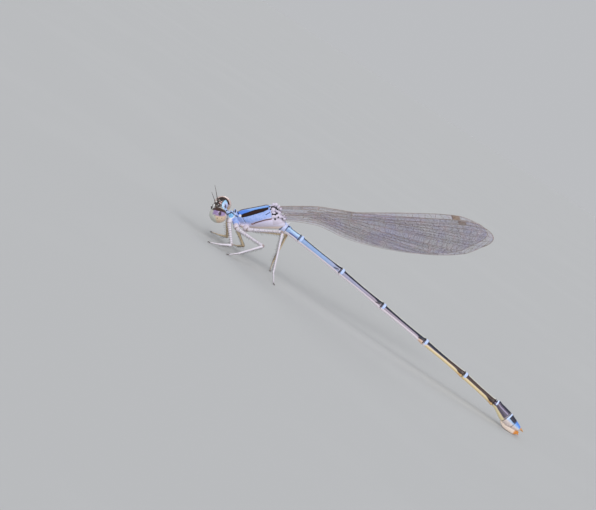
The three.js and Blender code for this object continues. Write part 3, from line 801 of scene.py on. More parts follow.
def make_thorax():
    parts = [
        ring_skin(trunk_rings(THORAX_SECTIONS, THORAX_KEEL, 60, 72)),
        ring_skin(trunk_rings(PROTHORAX_SECTIONS, 0.25, 40, 48)),
    ]
    neck = np.linspace(on_head(-0.36, 0, 0), on_thorax(-0.6, 0.4, 0), 6)
    parts.append(ring_skin(limb_rings(neck, [0.3, 0.24, 0.22, 0.24, 0.28, 0.3], 24)))
    for name, points in LEG_POINTS.items():
        root, hip = np.array(points[0]), np.array(points[1])
        radius = COXA_RADII[name.split("_")[0]]
        parts.append(ball(coxa_middle(points), (radius, radius * 0.8, radius)))
        stub = np.linspace(root - 0.35 * unit(hip - root), root + 0.25 * (hip - root), 5)
        parts.append(ring_skin(limb_rings(stub, [0.34, 0.3, 0.28, 0.26, 0.22], 20)))
    for wing in WINGS.values():
        for side in (-1, 1):
            stalk = [wing_root(wing, side, a, 0.05) for a in (-1.0, -0.6, -0.35, -0.12)]
            parts.append(ring_skin(limb_rings(stalk, [0.34, 0.3, 0.24, 0.12], 20)))
    for side in (-1, 1):
        for along, down, out, radius in HINGE_KNOBS:
            middle = on_thorax(along, down, side * out)
            parts.append(ball(middle, (radius, radius * 0.85, radius), rows=10, columns=12))
    parts.append(ball(on_thorax(-0.05, 1.0, 0), (0.7, 0.5, 0.5)))
    mesh = fuse("trunk", parts, 0.028, 4)
    points = read_points(mesh)
    normals = read_normals(mesh)
    along, down, y = in_thorax(points)
    out = np.abs(y)
    fields = thorax_fields(along, down, out, points)
    relief = -0.035 * step(-0.03, 0.03, fields["seams"]) - 0.02 * step(-0.03, 0.02, fields.pop("grooves"))
    keel = hill(y, 0, 0.05) * step(0.1, 0.5, along) * (1 - step(2.8, 3.2, along))
    relief += 0.03 * keel * (down < 0.3)
    place(mesh, points + normals * relief[:, None])
    piece("trunk", mesh, thorax_finish(), ("thorax", "prothorax"), fields)


def stroke_distance(first, second, start, end):
    """How far each point of a plane lies from the line between two of its points."""
    way = np.subtract(end, start)
    share = np.clip(((first - start[0]) * way[0] + (second - start[1]) * way[1]) / way.dot(way), 0, 1)
    return np.hypot(first - start[0] - share * way[0], second - start[1] - share * way[1])


def thorax_fields(along, down, out, points):
    """Markings of the thorax as millimetres inside each one's edge."""
    trunk = along > -0.02
    none = -1.0
    upper = np.interp(along, (0.3, 1.7, 3.2), (0.07, 0.04, 0.06))
    lower = np.interp(along, (0.2, 0.5, 1.7, 3.2), (0.44, 0.38, 0.22, 0.2))
    stripe = np.minimum(down - upper, lower - down)
    stripe = np.minimum(stripe, np.minimum(along - 0.12, 3.22 - along))
    stripe = np.where(trunk, stripe, none)
    glow = np.where(trunk, 0.4 - np.hypot((along - 0.6) / 1.6, (down - 0.25) / 0.5), none)
    top = np.interp(along, (0.34, 0.6, 1.7, 3.0, 3.3), (0.44, 0.37, 0.21, 0.2, 0.22))
    bottom = np.interp(along, (0.34, 0.45, 0.9, 1.7, 2.5, 3.3), (0.6, 0.7, 0.7, 0.62, 0.54, 0.34))
    dark = np.minimum(down - top, bottom - down)
    dark = np.minimum(dark, np.minimum(along - 0.36, 3.05 - along))
    dark = np.where(trunk, dark, none)
    core = dark - 0.09
    back_line = np.where(trunk & (along < 3.1), 0.16 - out, none)
    seam = 0.045 - np.abs(down - np.interp(along, (1.16, 1.7, 2.6, 3.8), (1.52, 1.4, 1.32, 1.34)))
    seam = np.minimum(seam, np.minimum(along - 1.4, 3.7 - along))
    fork = 0.03 - np.abs(down - np.interp(along, (2.6, 3.2), (0.88, 0.66)))
    fork = np.where((along > 2.68) & (along < 3.18), fork, none)
    front = 0.02 - np.abs(along - (0.42 + 0.35 * (down - 0.5)))
    front = np.where((down > 0.5) & (down < 1.3), front, none)
    lower_side = down - np.interp(along, (0.0, 1.2, 2.6, 4.2), (1.1, 1.45, 1.35, 1.0))
    breast = down - np.interp(along, (0.0, 1.2, 4.2), (1.35, 1.78, 2.25))
    knobs = np.full(len(points), 9.0)
    for side in (-1, 1):
        for a, d, o, radius in HINGE_KNOBS:
            centre = on_thorax(a, d, side * o)
            knobs = np.minimum(knobs, np.linalg.norm(points - centre, axis=1) - radius)
    # Painted shade in the listed spots and in the crevices between the hinge plates.
    hollow_shade = np.full(len(points), -1.0)
    for a, d, radius in HINGE_SHADE_SPOTS:
        hollow_shade = np.maximum(hollow_shade, radius - np.hypot(along - a, down - d))
    hollow_shade = np.where(out > 0.1, hollow_shade, none)
    hinge = np.minimum(along - 3.22, 1.95 - down)
    crevice_shade = np.minimum(np.minimum(knobs - 0.035, 0.1), hinge - 0.05)
    crevice_shade = np.where(down < 1.0, crevice_shade, none)
    coxae = np.full(len(points), -1.0)
    for name, leg in LEG_POINTS.items():
        radius = COXA_RADII[name.split("_")[0]]
        coxae = np.maximum(coxae, radius * 1.06 - np.linalg.norm(points - coxa_middle(leg), axis=1))
    collar = along < -0.08
    strokes = np.full(len(points), -1.0)
    for a, d, end_a, end_d, half in COLLAR_STROKES:
        strokes = np.maximum(strokes, half - stroke_distance(along, down, (a, d), (end_a, end_d)))
    blue_along, blue_down, blue_radius = COLLAR_BLUE
    plate = blue_radius - np.hypot((along - blue_along) / 1.25, down - blue_down)
    spiracle = 0.08 - np.hypot((along - 1.28) / 1.4, down - 1.48)
    blob = 0.12 - np.hypot(along - 0.26, down - 0.5)
    grooves = np.where(trunk, 0.03 - np.abs(down - (1.52 + 0.2 * along)), none)
    return {
        "shoulder_stripe": stripe,
        "stripe_light": np.minimum(stripe - 0.01, 0.13 - down),
        "stripe_glow": np.minimum(glow, stripe + 0.1),
        "dark_stripe": dark,
        "dark_core": core,
        "back_line": back_line,
        "seam_edge": np.where((down > 1) & trunk, seam + 0.05, none),
        "seams": np.maximum(np.maximum(seam, fork), front),
        "lower_side": np.where(trunk, lower_side, none),
        "breast": np.where(trunk, breast, none),
        "hinge_pale": hinge,
        "hinge_shade": np.maximum(hollow_shade, crevice_shade),
        "coxae": coxae,
        "spiracle": np.where(trunk, spiracle, none),
        "front_blob": blob,
        "collar_pale": np.where(collar, np.minimum(0.66 - down, 0.2), none),
        "collar_rim": np.where(collar & (down > 0.3), 0.04 - np.abs(plate + 0.02), none),
        "collar_blue": np.where(collar, plate, none),
        "collar_dark": np.where(out > 0.06, strokes, none),
        "grooves": grooves,
    }


# Head
def head_reach(angle, left):
    """The reach of the head from its middle, at an angle up from straight ahead and a place to the left."""
    degrees = np.degrees(np.arctan2(np.sin(angle), np.cos(angle)))

    def bump(at, spread, height, width):
        return height * hill(degrees, at, spread) * hill(left, 0, width)

    backwards = np.maximum(0, -np.cos(angle))
    base = 0.66 - 0.16 * backwards**2 + 0.05 * np.abs(np.sin(angle))
    shaped = base + bump(34, 13, 0.16, 0.62) + bump(6, 14, 0.3, 0.5) + bump(-14, 6, -0.07, 0.6)
    shaped = shaped + bump(-32, 14, 0.22, 0.45) + bump(-50, 5, -0.12, 0.5) + bump(-76, 20, 0.12, 0.42)
    return shaped + bump(104, 22, -0.05, 0.3) + bump(180, 40, -0.1, 0.45)


def make_head():
    left = np.linspace(-HEAD_HALF, HEAD_HALF, 44)
    angle = np.linspace(0, 2 * math.pi, 120, endpoint=False)
    rings = []
    for place_left in left:
        reach = head_reach(angle, place_left) * (1 + 0.06 * step(0.6, 0.95, abs(place_left)))
        rings.append([on_head(r * math.cos(a), r * math.sin(a), place_left) for r, a in zip(reach, angle)])
    parts = [ring_skin(rings)]
    axes = HEAD_AXES
    parts.append(ball(on_head(0.74, 0.1, 0), (0.24, 0.13, 0.46), axes))
    parts.append(ball(on_head(0.7, -0.13, 0), (0.22, 0.1, 0.36), axes))
    parts.append(ball(on_head(0.62, -0.36, 0), (0.24, 0.17, 0.34), axes))
    parts.append(ball(on_head(0.34, -0.62, 0), (0.34, 0.14, 0.3), axes))
    for side in (-1, 1):
        parts.append(ball(on_head(0.6, -0.2, side * 0.42), (0.2, 0.22, 0.12), axes))
        parts.append(ball(on_head(0.4, 0.46, side * 0.4), (0.16, 0.16, 0.16), axes))
        parts.append(ball(on_head(0.02, 0.5, side * 0.52), (0.34, 0.16, 0.26), axes))
        parts.append(ball(on_head(-0.36, 0.2, side * 0.66), (0.22, 0.36, 0.26), axes))
    for forward, out in OCELLI:
        parts.append(ball(on_head(forward, 0.66, out), (0.1, 0.07, 0.1), axes))
    mesh = fuse("head_capsule", parts, 0.024, 4)
    points = read_points(mesh)
    normals = read_normals(mesh)
    forward, up, out = ((points - HEAD_MIDDLE) @ HEAD_AXES.T).T
    fields = head_fields(forward, up, np.abs(out))
    relief = -0.025 * step(-0.02, 0.02, fields["head_lines"])
    place(mesh, points + normals * relief[:, None])
    piece("head_capsule", mesh, head_finish(), ("head",), fields)
    ocelli = [ball(on_head(f, 0.7, o), (0.075, 0.06, 0.075), axes) for f, o in OCELLI]
    gem = plain_finish("ocellus_glaze", rgb(238, 200, 200), rgb(214, 160, 150), rough=0.15, coat=0.8)
    piece("ocelli", grid_mesh("ocelli", ocelli), gem)




def head_fields(forward, up, out):
    """Markings of the head capsule as millimetres inside each one's edge."""
    # The pale face, with painted highlights where it is whitest.
    face = np.full(len(forward), -1.0)
    for ahead, height, side, radius in FACE_AND_HIGHLIGHT_BLOBS:
        distance = np.sqrt((forward - ahead) ** 2 + (up - height) ** 2 + (out - side) ** 2)
        face = np.maximum(face, radius - distance)
    lip = np.minimum(forward - 0.3, -0.2 - up)
    middle = -0.15 - 0.38 * out**2
    half = 0.075 + 0.075 * step(0.4, 0.7, out)
    band = np.minimum(half - np.abs(forward - middle), up - 0.05)
    rear = np.minimum(middle - forward, up + 0.1)
    dark = 0.13 - np.hypot(forward + 0.47, (out - 0.15) * 0.75)
    dark = np.minimum(dark, up)
    knob = np.minimum(0.15 - np.hypot(forward + 0.34, out - 0.66), up)
    under = -0.3 - up - 0.3 * forward
    line = 0.018 - np.abs(np.arctan2(up, forward) + math.radians(14)) * 0.7
    mouth = 0.022 - np.abs(np.arctan2(up, forward) + math.radians(50)) * 0.7
    lines = np.where((forward > 0.25) & (out < 0.55), np.maximum(line, mouth), -1)
    lines = np.maximum(lines, np.where(up > 0.3, 0.02 - np.abs(forward - 0.36 + 0.2 * out), -1))
    crown = 0.06 - np.hypot(forward - 0.34, out - 0.62)
    crown = np.minimum(crown, up - 0.25)
    streaks = np.minimum(0.05 - np.abs(forward - 0.12 - 0.5 * np.abs(out - 0.2)), up - 0.4)
    return {
        "face": face,
        "lip": lip,
        "rear_pale": rear,
        "rear_band": np.maximum(band, knob),
        "rear_dark": dark,
        "under": under,
        "head_lines": lines,
        "crown_pale": crown,
        "crown_streaks": streaks,
    }


def make_eyes():
    glaze = eye_finish()
    for name, side in (("left", 1), ("right", -1)):
        middle = on_head(0, 0, side * EYE_SPACING / 2)
        skin, faces = ball(middle, (EYE_RADII[2], EYE_RADII[0], EYE_RADII[1]), HEAD_AXES[[2, 0, 1]], 96, 128)
        forward, up, out = ((skin - HEAD_MIDDLE) @ HEAD_AXES.T).T
        inner = np.maximum(0, EYE_FACE - out * side)
        skin = skin + inner[:, None] * side * HEAD_AXES[2]
        ball_way = np.array([forward, up, out * side - EYE_SPACING / 2]).T / EYE_RADII
        fields = eye_fields(ball_way, side)
        mesh = mesh_of(f"eye_ball_{name}", skin * MM + ORIGIN, faces)
        piece(f"eye_ball_{name}", mesh, glaze, (f"eye_{name}",), fields)


def eye_fields(way, side):
    """Markings of an eye, by how far each of its points looks forward, up and out."""
    forward, up, out = way.T

    def patch(centre, long, wide):
        """Inside an oval round a point of the eye, longer from top to bottom."""
        offset = way - unit(centre)
        return wide * (1 - np.hypot(offset[:, 0] / wide, np.hypot(offset[:, 1], offset[:, 2]) / long))

    spots = patch((-0.08, 0.07, 0.99), 0.07, 0.07)
    for centre in ((-0.56, 0.1, 0.82), (0.25, 0.29, 0.92)):
        spots = np.maximum(spots, patch(centre, 0.06, 0.06))
    limit = CAP_REACH[side] - 0.5 * forward**2
    floor = 0.3 + 0.35 * step(-0.2, 0.5, forward)
    band = np.minimum(np.minimum(up - 0.36, out - 0.1), np.minimum(0.55 - forward, forward + 0.93))
    # The pale rim, painted on the right eye only, is a painted highlight.
    rim_highlight_field = np.minimum(limit + 0.55 - out, up - 0.05) * 0.75
    return {
        "front_green": forward - 0.12 - 0.25 * up,
        "lilac_band": band * 0.75,
        "pale_streak": patch((-0.84, 0.5, 0.2), 0.35, 0.07),
        "rim_highlight": rim_highlight_field if side < 0 else np.full(len(way), -1.0),
        "cap": np.minimum(limit - out, up - floor) * 0.75,
        "pupil_glow": patch((-0.24, 0.66, 0.72), 0.3, 0.18),
        "pupil": patch((-0.24, 0.64, 0.73), 0.24, 0.11),
        "spots": spots,
    }


def make_antennae():
    dark = plain_finish("antenna_shell", rgb(70, 60, 54), rgb(110, 98, 90), rough=0.4)
    for name, side in (("left", 1), ("right", -1)):
        reach = np.linspace(0, ANTENNA_LENGTH, 60)
        root = np.array(ANTENNA_ROOT) * (1, 1, side)
        way = np.array(ANTENNA_WAY) * (1, 1, side)
        path = np.array([on_head(*(root + way * (s - 0.08) + np.array([0.03 * s * s, 0, 0]))) for s in reach])
        radii = np.interp(
            reach, (0, 0.12, 0.26, 0.3, 0.5, 0.54, 1.0, 1.75),
            (0.09, 0.1, 0.08, 0.055, 0.06, 0.03, 0.022, 0.01),
        )
        joints = 0.006 * np.abs(np.sin(reach * 16)) * step(0.5, 0.6, reach)
        skin = ring_skin(limb_rings(path, radii + joints, 14))
        piece(f"feeler_{name}", grid_mesh("feeler", [skin]), dark, (f"antenna_{name}",))


# Abdomen
def abdomen_rings(columns):
    """Rings of the abdomen, and for each its segment, its way from that segment's ends, and its radius."""
    joints = np.array([(x, 0, z) for x, z in ABDOMEN_JOINTS])
    ways = unit(np.gradient(joints, axis=0))
    turn = np.linspace(0, 2 * math.pi, columns, endpoint=False)
    rings = []
    facts = []
    for n, (front, middle, rear) in enumerate(ABDOMEN_RADII):
        length = np.linalg.norm(joints[n + 1] - joints[n])
        widths = (front, (front + middle) / 2, middle, (rear + middle) / 2, rear)
        for share in np.linspace(0, 1, max(12, int(length / 0.06)))[:-1]:
            centre = joints[n] + (joints[n + 1] - joints[n]) * share
            way = unit(ways[n] * (1 - share) + ways[n + 1] * share)
            inside = share * length
            left = length - inside
            radius = through((0, 0.18, 0.5, 0.85, 1), widths, share)[0]
            radius += 0.04 * hill(inside, 0.14, 0.09) + 0.03 * hill(left, 0.16, 0.16)
            radius -= 0.075 * (hill(inside, 0, 0.035) + hill(left, 0, 0.035))
            up = np.array([-way[2], 0, way[0]])
            side = np.array([0, 1.0, 0])
            pinch = 1 - 0.08 * hill(np.abs(turn - math.pi), 0.55, 0.12)
            spokes = np.cos(turn)[:, None] * up + 0.96 * np.sin(turn)[:, None] * side
            rings.append(centre + radius * pinch[:, None] * spokes)
            facts.append((n + 1, inside, left, radius))
    return np.array(rings), np.array(facts)


def make_abdomen():
    columns = 64
    rings, facts = abdomen_rings(columns)
    mesh = grid_mesh("abdomen", [ring_skin(rings)])
    turn = np.linspace(0, 2 * math.pi, columns, endpoint=False)
    around = np.minimum(turn, 2 * math.pi - turn)
    number, inside, left, radius = (np.repeat(facts[:, i], columns) for i in range(4))
    around = np.tile(around, len(facts))
    x = rings.reshape(-1, 3)[:, 0]
    # How far down each segment's side the pale line of painted highlight along the top and the dark of the
    # back come, in degrees from the top
    highlight_reach = np.radians(np.interp(number, (1, 2, 3, 5, 7), (0, 20, 24, 30, 34)))
    back_reach = np.radians(np.interp(number, (1, 2, 3, 4, 5, 6, 7), (0, 34, 46, 62, 70, 84, 90)))
    swell = np.where(number > 2, 0.3 * hill(left, 0.45, 0.4), 0)
    back = np.minimum(radius * (back_reach * (1 + swell) - around), inside - 0.3)
    upper = radius * (1.9 - around)
    rear_ring = np.where(number > 1, np.minimum(0.07 - np.abs(left - 0.08), upper + 0.1), -1)
    front_ring = np.where(number > 2, np.minimum(0.13 - np.abs(inside - 0.16), upper), -1)
    low_line = np.interp(x, (-22, -8), (1.95, 1.6))
    streak = np.minimum(0.05 - np.abs(radius * (around - 1.75)), np.minimum(inside - 0.4, left - 0.2))
    spot = 0.14 - np.hypot(inside - 0.04, radius * (around - 0.6))
    fork = np.minimum(0.05 - np.abs(radius * (around - 1.5) - 0.3 * (left - 0.5)), 0.25 - np.abs(left - 0.5))
    tick = np.minimum(
        0.012 - np.abs((inside % 0.34) - 0.17), 0.2 - np.abs(radius * (around - back_reach) - 0.25),
    )
    fields = {
        "blue_front": -23.2 - x + 0.5 * (around - 1.2),
        "pink_middle": np.minimum(x + 19.0, -9.0 - x),
        "cream_rear": x + 9.8,
        # The light cyan band on the second segment is a painted highlight.
        "painted_highlight_band": np.where(number == 2, 0.08 - np.abs(radius * (around - 0.95)), -1),
        "ticks": np.where((number > 2) & (inside > 0.4), tick, -1),
        "belly": radius * (around - low_line),
        "belly_rear": np.minimum(radius * (around - low_line), x + 11.5),
        "streak": np.where(number == 2, streak, -1),
        "back": back,
        "back_brown": np.minimum(x + 9.0, back),
        # The pale line along the top of each segment is a painted highlight.
        "ridge": np.minimum(radius * (highlight_reach - around), inside - 0.35),
        "fork": np.where(number > 2, fork, -1),
        "amber": np.where(number > 4, np.minimum(0.6 - left, radius * (around - 1.7)), -1),
        "first_white": np.where(number == 1, 0.3, -1),
        "first_dark": np.where(number == 1, 0.05 - np.abs(inside - 0.1 - 0.12 * np.sin(around)), -1),
        "rear_ring": rear_ring,
        "front_ring": front_ring,
        "blue_spot": np.where(number == 2, spot, -1),
        "joint": np.where(around < 1.9, 0.03, 0.012) - np.minimum(inside, left),
    }
    nodes = [f"abdomen_{n}" for n in range(1, 8)]
    piece("abdomen", mesh, abdomen_finish(), nodes, with_ends(fields))
    pegs = [ball((-28.72, side * 0.2, 5.26), (0.06, 0.05, 0.17), PEG_LEAN, 10, 14) for side in (-1, 1)]
    pale = plain_finish("peg_shell", rgb(232, 232, 240), rgb(206, 206, 224), rough=0.35)
    piece("rear_pegs", grid_mesh("rear_pegs", pegs), pale)


def make_tail():
    rows, columns = 110, 64
    sections = np.array(TAIL_SECTIONS)
    places = sections[:, 0]
    at = np.linspace(places[0], places[-1], rows)
    read = through(places, sections[:, 1:], at)
    turn = np.linspace(0, 2 * math.pi, columns, endpoint=False)
    rise = (1 + np.cos(turn)) / 2
    rings = []
    for x, (top, bottom_x, bottom, half) in zip(at, read):
        groove = sum(0.05 * hill(x, joint, 0.035) for joint in TAIL_JOINTS)
        middle = (top + bottom) / 2
        z = middle + (bottom + (top - bottom) * rise - middle) * (1 - groove)
        rings.append(np.array([bottom_x + (x - bottom_x) * rise, half * (1 - groove) * np.sin(turn), z]).T)
    rings = np.array(rings)
    mesh = grid_mesh("tail", [ring_skin(rings)])
    top_x = np.repeat(at, columns)
    high = np.tile(np.cos(turn), rows)
    front_back = np.minimum(high - 0.74, -1.1 - top_x)
    rear_back = np.minimum(high - 0.3, -0.22 - top_x)
    from_ring = np.minimum(np.abs(top_x + 0.93), np.abs(top_x + 2.7))
    from_joint = np.minimum(np.abs(top_x - TAIL_JOINTS[0]), np.abs(top_x - TAIL_JOINTS[1]))
    fields = {
        "tail_blue": np.minimum(top_x + 0.95, high * 0.5 - 0.02),
        "tail_sky": np.minimum(top_x + 0.3, high * 0.5 - 0.2),
        "tail_cream": np.minimum(-1.05 - top_x, -0.4 - high) * 0.5,
        "tail_side": np.minimum(-1.05 - top_x, 0.45 + high) * 0.5,
        "tail_streak": np.minimum(0.1 - np.abs(high - 0.62 - 0.1 * top_x), -1.2 - top_x),
        "tail_back": np.where(top_x < TAIL_JOINTS[0], front_back, rear_back) * 0.5,
        "tail_ring": np.where(high > -0.1, 0.07 - from_ring, -1),
        "tail_joint": 0.02 - from_joint,
    }
    nodes = ("abdomen_8", "abdomen_9", "abdomen_10")
    piece("tail", mesh, tail_finish(), nodes, with_ends(fields))
    tan = plain_finish("tail_tip_shell", rgb(208, 158, 104), rgb(150, 96, 56), rough=0.3)
    share = np.linspace(0, 1, 24)
    radii = np.interp(share, (0, 0.3, 0.8, 1), (0.1, 0.1, 0.06, 0.02))
    for name, side in (("left", -1), ("right", 1)):
        bend = [(0.36, side * 0.13, 0.84), (0.62, side * 0.19, 0.83), (0.84, side * 0.2, 0.75)]
        clasper = ring_skin(limb_rings(through((0, 0.5, 1), bend, share), radii, 18))
        piece(f"clasper_{name}", grid_mesh("clasper", [clasper]), tan, (f"cercus_{name}",))


def make_sheath():
    """The egg-laying valves under the tail, with a saw edge and a short feeler at their ends."""
    parts = []
    feeler_share = np.linspace(0, 1, 16)
    for side in (-1, 1):
        share = np.linspace(0, 1, 50)
        x = -1.5 + 2.05 * share
        bottom = np.interp(x, (-1.5, -1.06, -0.7, 0.05, 0.36, 0.55), (0.36, 0.1, 0.02, 0.02, 0.12, 0.3))
        top = np.interp(x, (-1.5, -0.7, 0.05, 0.55), (0.62, 0.56, 0.6, 0.5))
        half = 0.02 + 0.12 * np.sin(math.pi * np.clip(share * 1.02, 0, 1)) ** 0.6
        saw = 0.015 * np.abs(((x * 9) % 1) - 0.5) * (x > -0.9)
        rings = []
        turn = np.linspace(0, 2 * math.pi, 20, endpoint=False)
        for i in range(len(share)):
            middle = (top[i] + bottom[i] + saw[i]) / 2
            reach = (top[i] - bottom[i] - saw[i]) / 2
            offset = side * (0.09 + 0.02 * math.sin(share[i] * 3))
            rings.append([(x[i], offset + half[i] * math.sin(t), middle + reach * math.cos(t)) for t in turn])
        parts.append(ring_skin(rings))
        bend = [(0.4, side * 0.12, 0.34), (0.55, side * 0.15, 0.24), (0.68, side * 0.16, 0.3)]
        feeler = through((0, 0.5, 1), bend, feeler_share)
        parts.append(ring_skin(limb_rings(feeler, np.linspace(0.035, 0.014, 16), 12)))
    mesh = grid_mesh("egg_sheath", parts)
    rear = (read_points(mesh) - ORIGIN)[:, 0] / MM
    shell = Finish("sheath_shell", rgb(228, 210, 200), rough=0.3, coat=0.2)
    shell.mottle(0.1, rgb(236, 220, 190), 0.6)
    shell.marking("sheath_end", rgb(214, 136, 62), edge=0.1, wander=0.06)
    fields = {"sheath_end": rear - 0.12}
    made = shell.finish(grain=0.03, height=0.004, rough_low=0.25, rough_high=0.4)
    piece("egg_sheath", mesh, made, ("ovipositor",), fields)


# Legs
def leg_path(points):
    """The leg's centre line, finely stepped, its radius, and how far along each part it is."""
    root, hip, knee, ankle, claws = (np.array(p, float) for p in points)
    stretches = (
        (root + 0.1 * (hip - root), hip, (0.24, 0.25, 0.2), 12),
        (hip, knee, (0.2, 0.17, 0.125, 0.15), 60),
        (knee, ankle, (0.15, 0.105, 0.09, 0.095), 60),
        (ankle, claws, (0.085, 0.062, 0.055, 0.05), 36),
    )
    path = []
    radii = []
    share = []
    for number, (start, end, widths, steps) in enumerate(stretches):
        t = np.linspace(0, 1, steps, endpoint=number == 3)
        path.append(start + (end - start) * t[:, None])
        radii.append(np.interp(t, np.linspace(0, 1, len(widths)), widths))
        share.append(number + t * 0.999)
    share = np.concatenate(share)
    radii = np.concatenate(radii)
    tarsus = share >= 3
    radii = np.where(tarsus, radii * (1 - 0.3 * np.abs(np.sin((share - 3) * math.pi * 3)) ** 6), radii)
    path = np.vstack(path)
    for _ in range(3):
        path[1:-1] = (path[:-2] + 2 * path[1:-1] + path[2:]) / 4
    return path, radii, share


def make_leg(name, points, shell, bristle_shell):
    side = -1 if name.endswith("left") else 1
    path, radii, share = leg_path(points)
    rings = limb_rings(path, radii, 24, (0, side, 0))
    ways = unit(np.gradient(path, axis=0))
    outward = unit(rings - path[:, None])
    facing = outward[:, :, 1] * side
    top = outward @ np.array([0, 0, 1.0])
    along = np.broadcast_to(lengths_along(path)[:, None], facing.shape)
    part = np.broadcast_to(share[:, None], facing.shape)
    radius = radii[:, None]
    thigh = (part > 1.05) & (part < 1.95)
    shin = (part > 2.08) & (part < 2.98)
    tick = 0.022 - np.abs((along % 0.27) - 0.135)
    ticks = np.where(thigh & (facing > 0.1), np.minimum(tick, radius * (0.75 - np.abs(top - 0.15))), -1)
    line = np.where(thigh, radius * 0.28 - radius * np.abs(facing * 0.9 + 0.15) - radius * (top < 0) * 2, -1)
    line = np.maximum(line, np.where(shin, 0.02 - radius * np.abs(facing + 0.2) - radius * (top > 0) * 2, -1))
    knees = np.maximum(0.12 - np.abs(part - 2) * 3, 0.06 - np.abs(part - 1) * 2)
    fields = {
        "outer": facing * radius + 0.02,
        "ticks": ticks,
        "dark_line": line,
        "knees": knees,
        "claws": (part - 3.9) * 0.4,
    }
    parts = [ring_skin(rings)]
    tip = path[-1]
    way = unit(np.array([ways[-1][0], ways[-1][1], 0.0]))
    aside = np.array([-way[1], way[0], 0.0])
    for spread in (-1, 1):
        bend = tip + 0.07 * way + spread * 0.06 * aside + (0, 0, 0.02)
        point = tip + 0.15 * way + spread * 0.09 * aside - (0, 0, 0.06)
        claw = through((0, 0.5, 1), [tip - 0.04 * way, bend, point], np.linspace(0, 1, 10))
        parts.append(ring_skin(limb_rings(claw, np.linspace(0.035, 0.008, 10), 10)))
    mesh = grid_mesh(f"leg_{name}", parts)
    fields = with_ends({key: values.ravel() for key, values in fields.items()})
    for key, values in fields.items():
        hooks = np.full(len(mesh.vertices) - len(values), 0.5 if key == "claws" else -1.0)
        fields[key] = np.append(values, hooks)
    piece(f"limb_{name}", mesh, shell, (f"leg_{name}_upper", f"leg_{name}_lower"), fields)
    make_bristles(name, path, radii, share, ways, side, bristle_shell)


def make_bristles(name, path, radii, share, ways, side, shell):
    """Long bristles in two rows along the underside of the thigh and the shin, and short ones on the foot."""
    roots = []
    lies = []
    reaches = []
    along = lengths_along(path)
    hang = np.array([0.0, side * 0.25, -1.0])
    # from where to where along the leg, how far apart and how long
    rows = ((1.15, 1.97, 0.26, 0.42), (2.06, 2.97, 0.2, 0.5), (3.05, 3.9, 0.13, 0.14))
    for low, high, spacing, reach in rows:
        start, end = np.interp((low, high), share, along)
        for row_side in (-1, 1):
            for at in np.arange(start, end, spacing) + RNG.uniform(-0.03, 0.03):
                point = np.array([np.interp(at, along, path[:, i]) for i in range(3)])
                way = unit(np.array([np.interp(at, along, ways[:, i]) for i in range(3)]))
                radius = np.interp(at, along, radii)
                down = unit(hang - way * way.dot(hang))
                aside = np.cross(way, down)
                out = unit(down * 0.75 + aside * row_side * 0.8)
                roots.append(point + out * radius * 0.8)
                lies.append(unit(out + way * (0.75 + RNG.uniform(-0.15, 0.15))))
                reaches.append(reach * RNG.uniform(0.75, 1.1))
    roots, lies, reaches = np.array(roots), np.array(lies), np.array(reaches)
    keep = (roots + lies * reaches[:, None])[:, 2] > 0.01
    grow_spines(f"bristles_{name}", roots[keep], lies[keep], reaches[keep], 0.02, shell)


# Trees that repeat a small shape
def new_tree(name, inputs):
    """An empty tree with a mesh going in and out and named inputs, given as label, socket type and value."""
    tree = bpy.data.node_groups.new(name, "GeometryNodeTree")
    tree.interface.new_socket("Geometry", in_out="INPUT", socket_type="NodeSocketGeometry")
    keys = {}
    for label, kind, value in inputs:
        made = tree.interface.new_socket(label, in_out="INPUT", socket_type=kind)
        if value is not None:
            made.default_value = value
        keys[label] = made.identifier
    tree.interface.new_socket("Geometry", in_out="OUTPUT", socket_type="NodeSocketGeometry")
    entry = tree.nodes.new("NodeGroupInput")
    end = tree.nodes.new("NodeGroupOutput")
    return tree, entry, end, keys


def named(tree, name, kind):
    made = tree.nodes.new("GeometryNodeInputNamedAttribute")
    made.data_type = kind
    made.inputs["Name"].default_value = name
    return made.outputs["Attribute"]


def dress(tree, entry, end, shape):
    """Ends a tree with its shape made real and given the material."""
    real = tree.nodes.new("GeometryNodeRealizeInstances")
    tree.links.new(shape, real.inputs["Geometry"])
    coat = tree.nodes.new("GeometryNodeSetMaterial")
    tree.links.new(real.outputs["Geometry"], coat.inputs["Geometry"])
    tree.links.new(entry.outputs["Material"], coat.inputs["Material"])
    tree.links.new(coat.outputs["Geometry"], end.inputs["Geometry"])


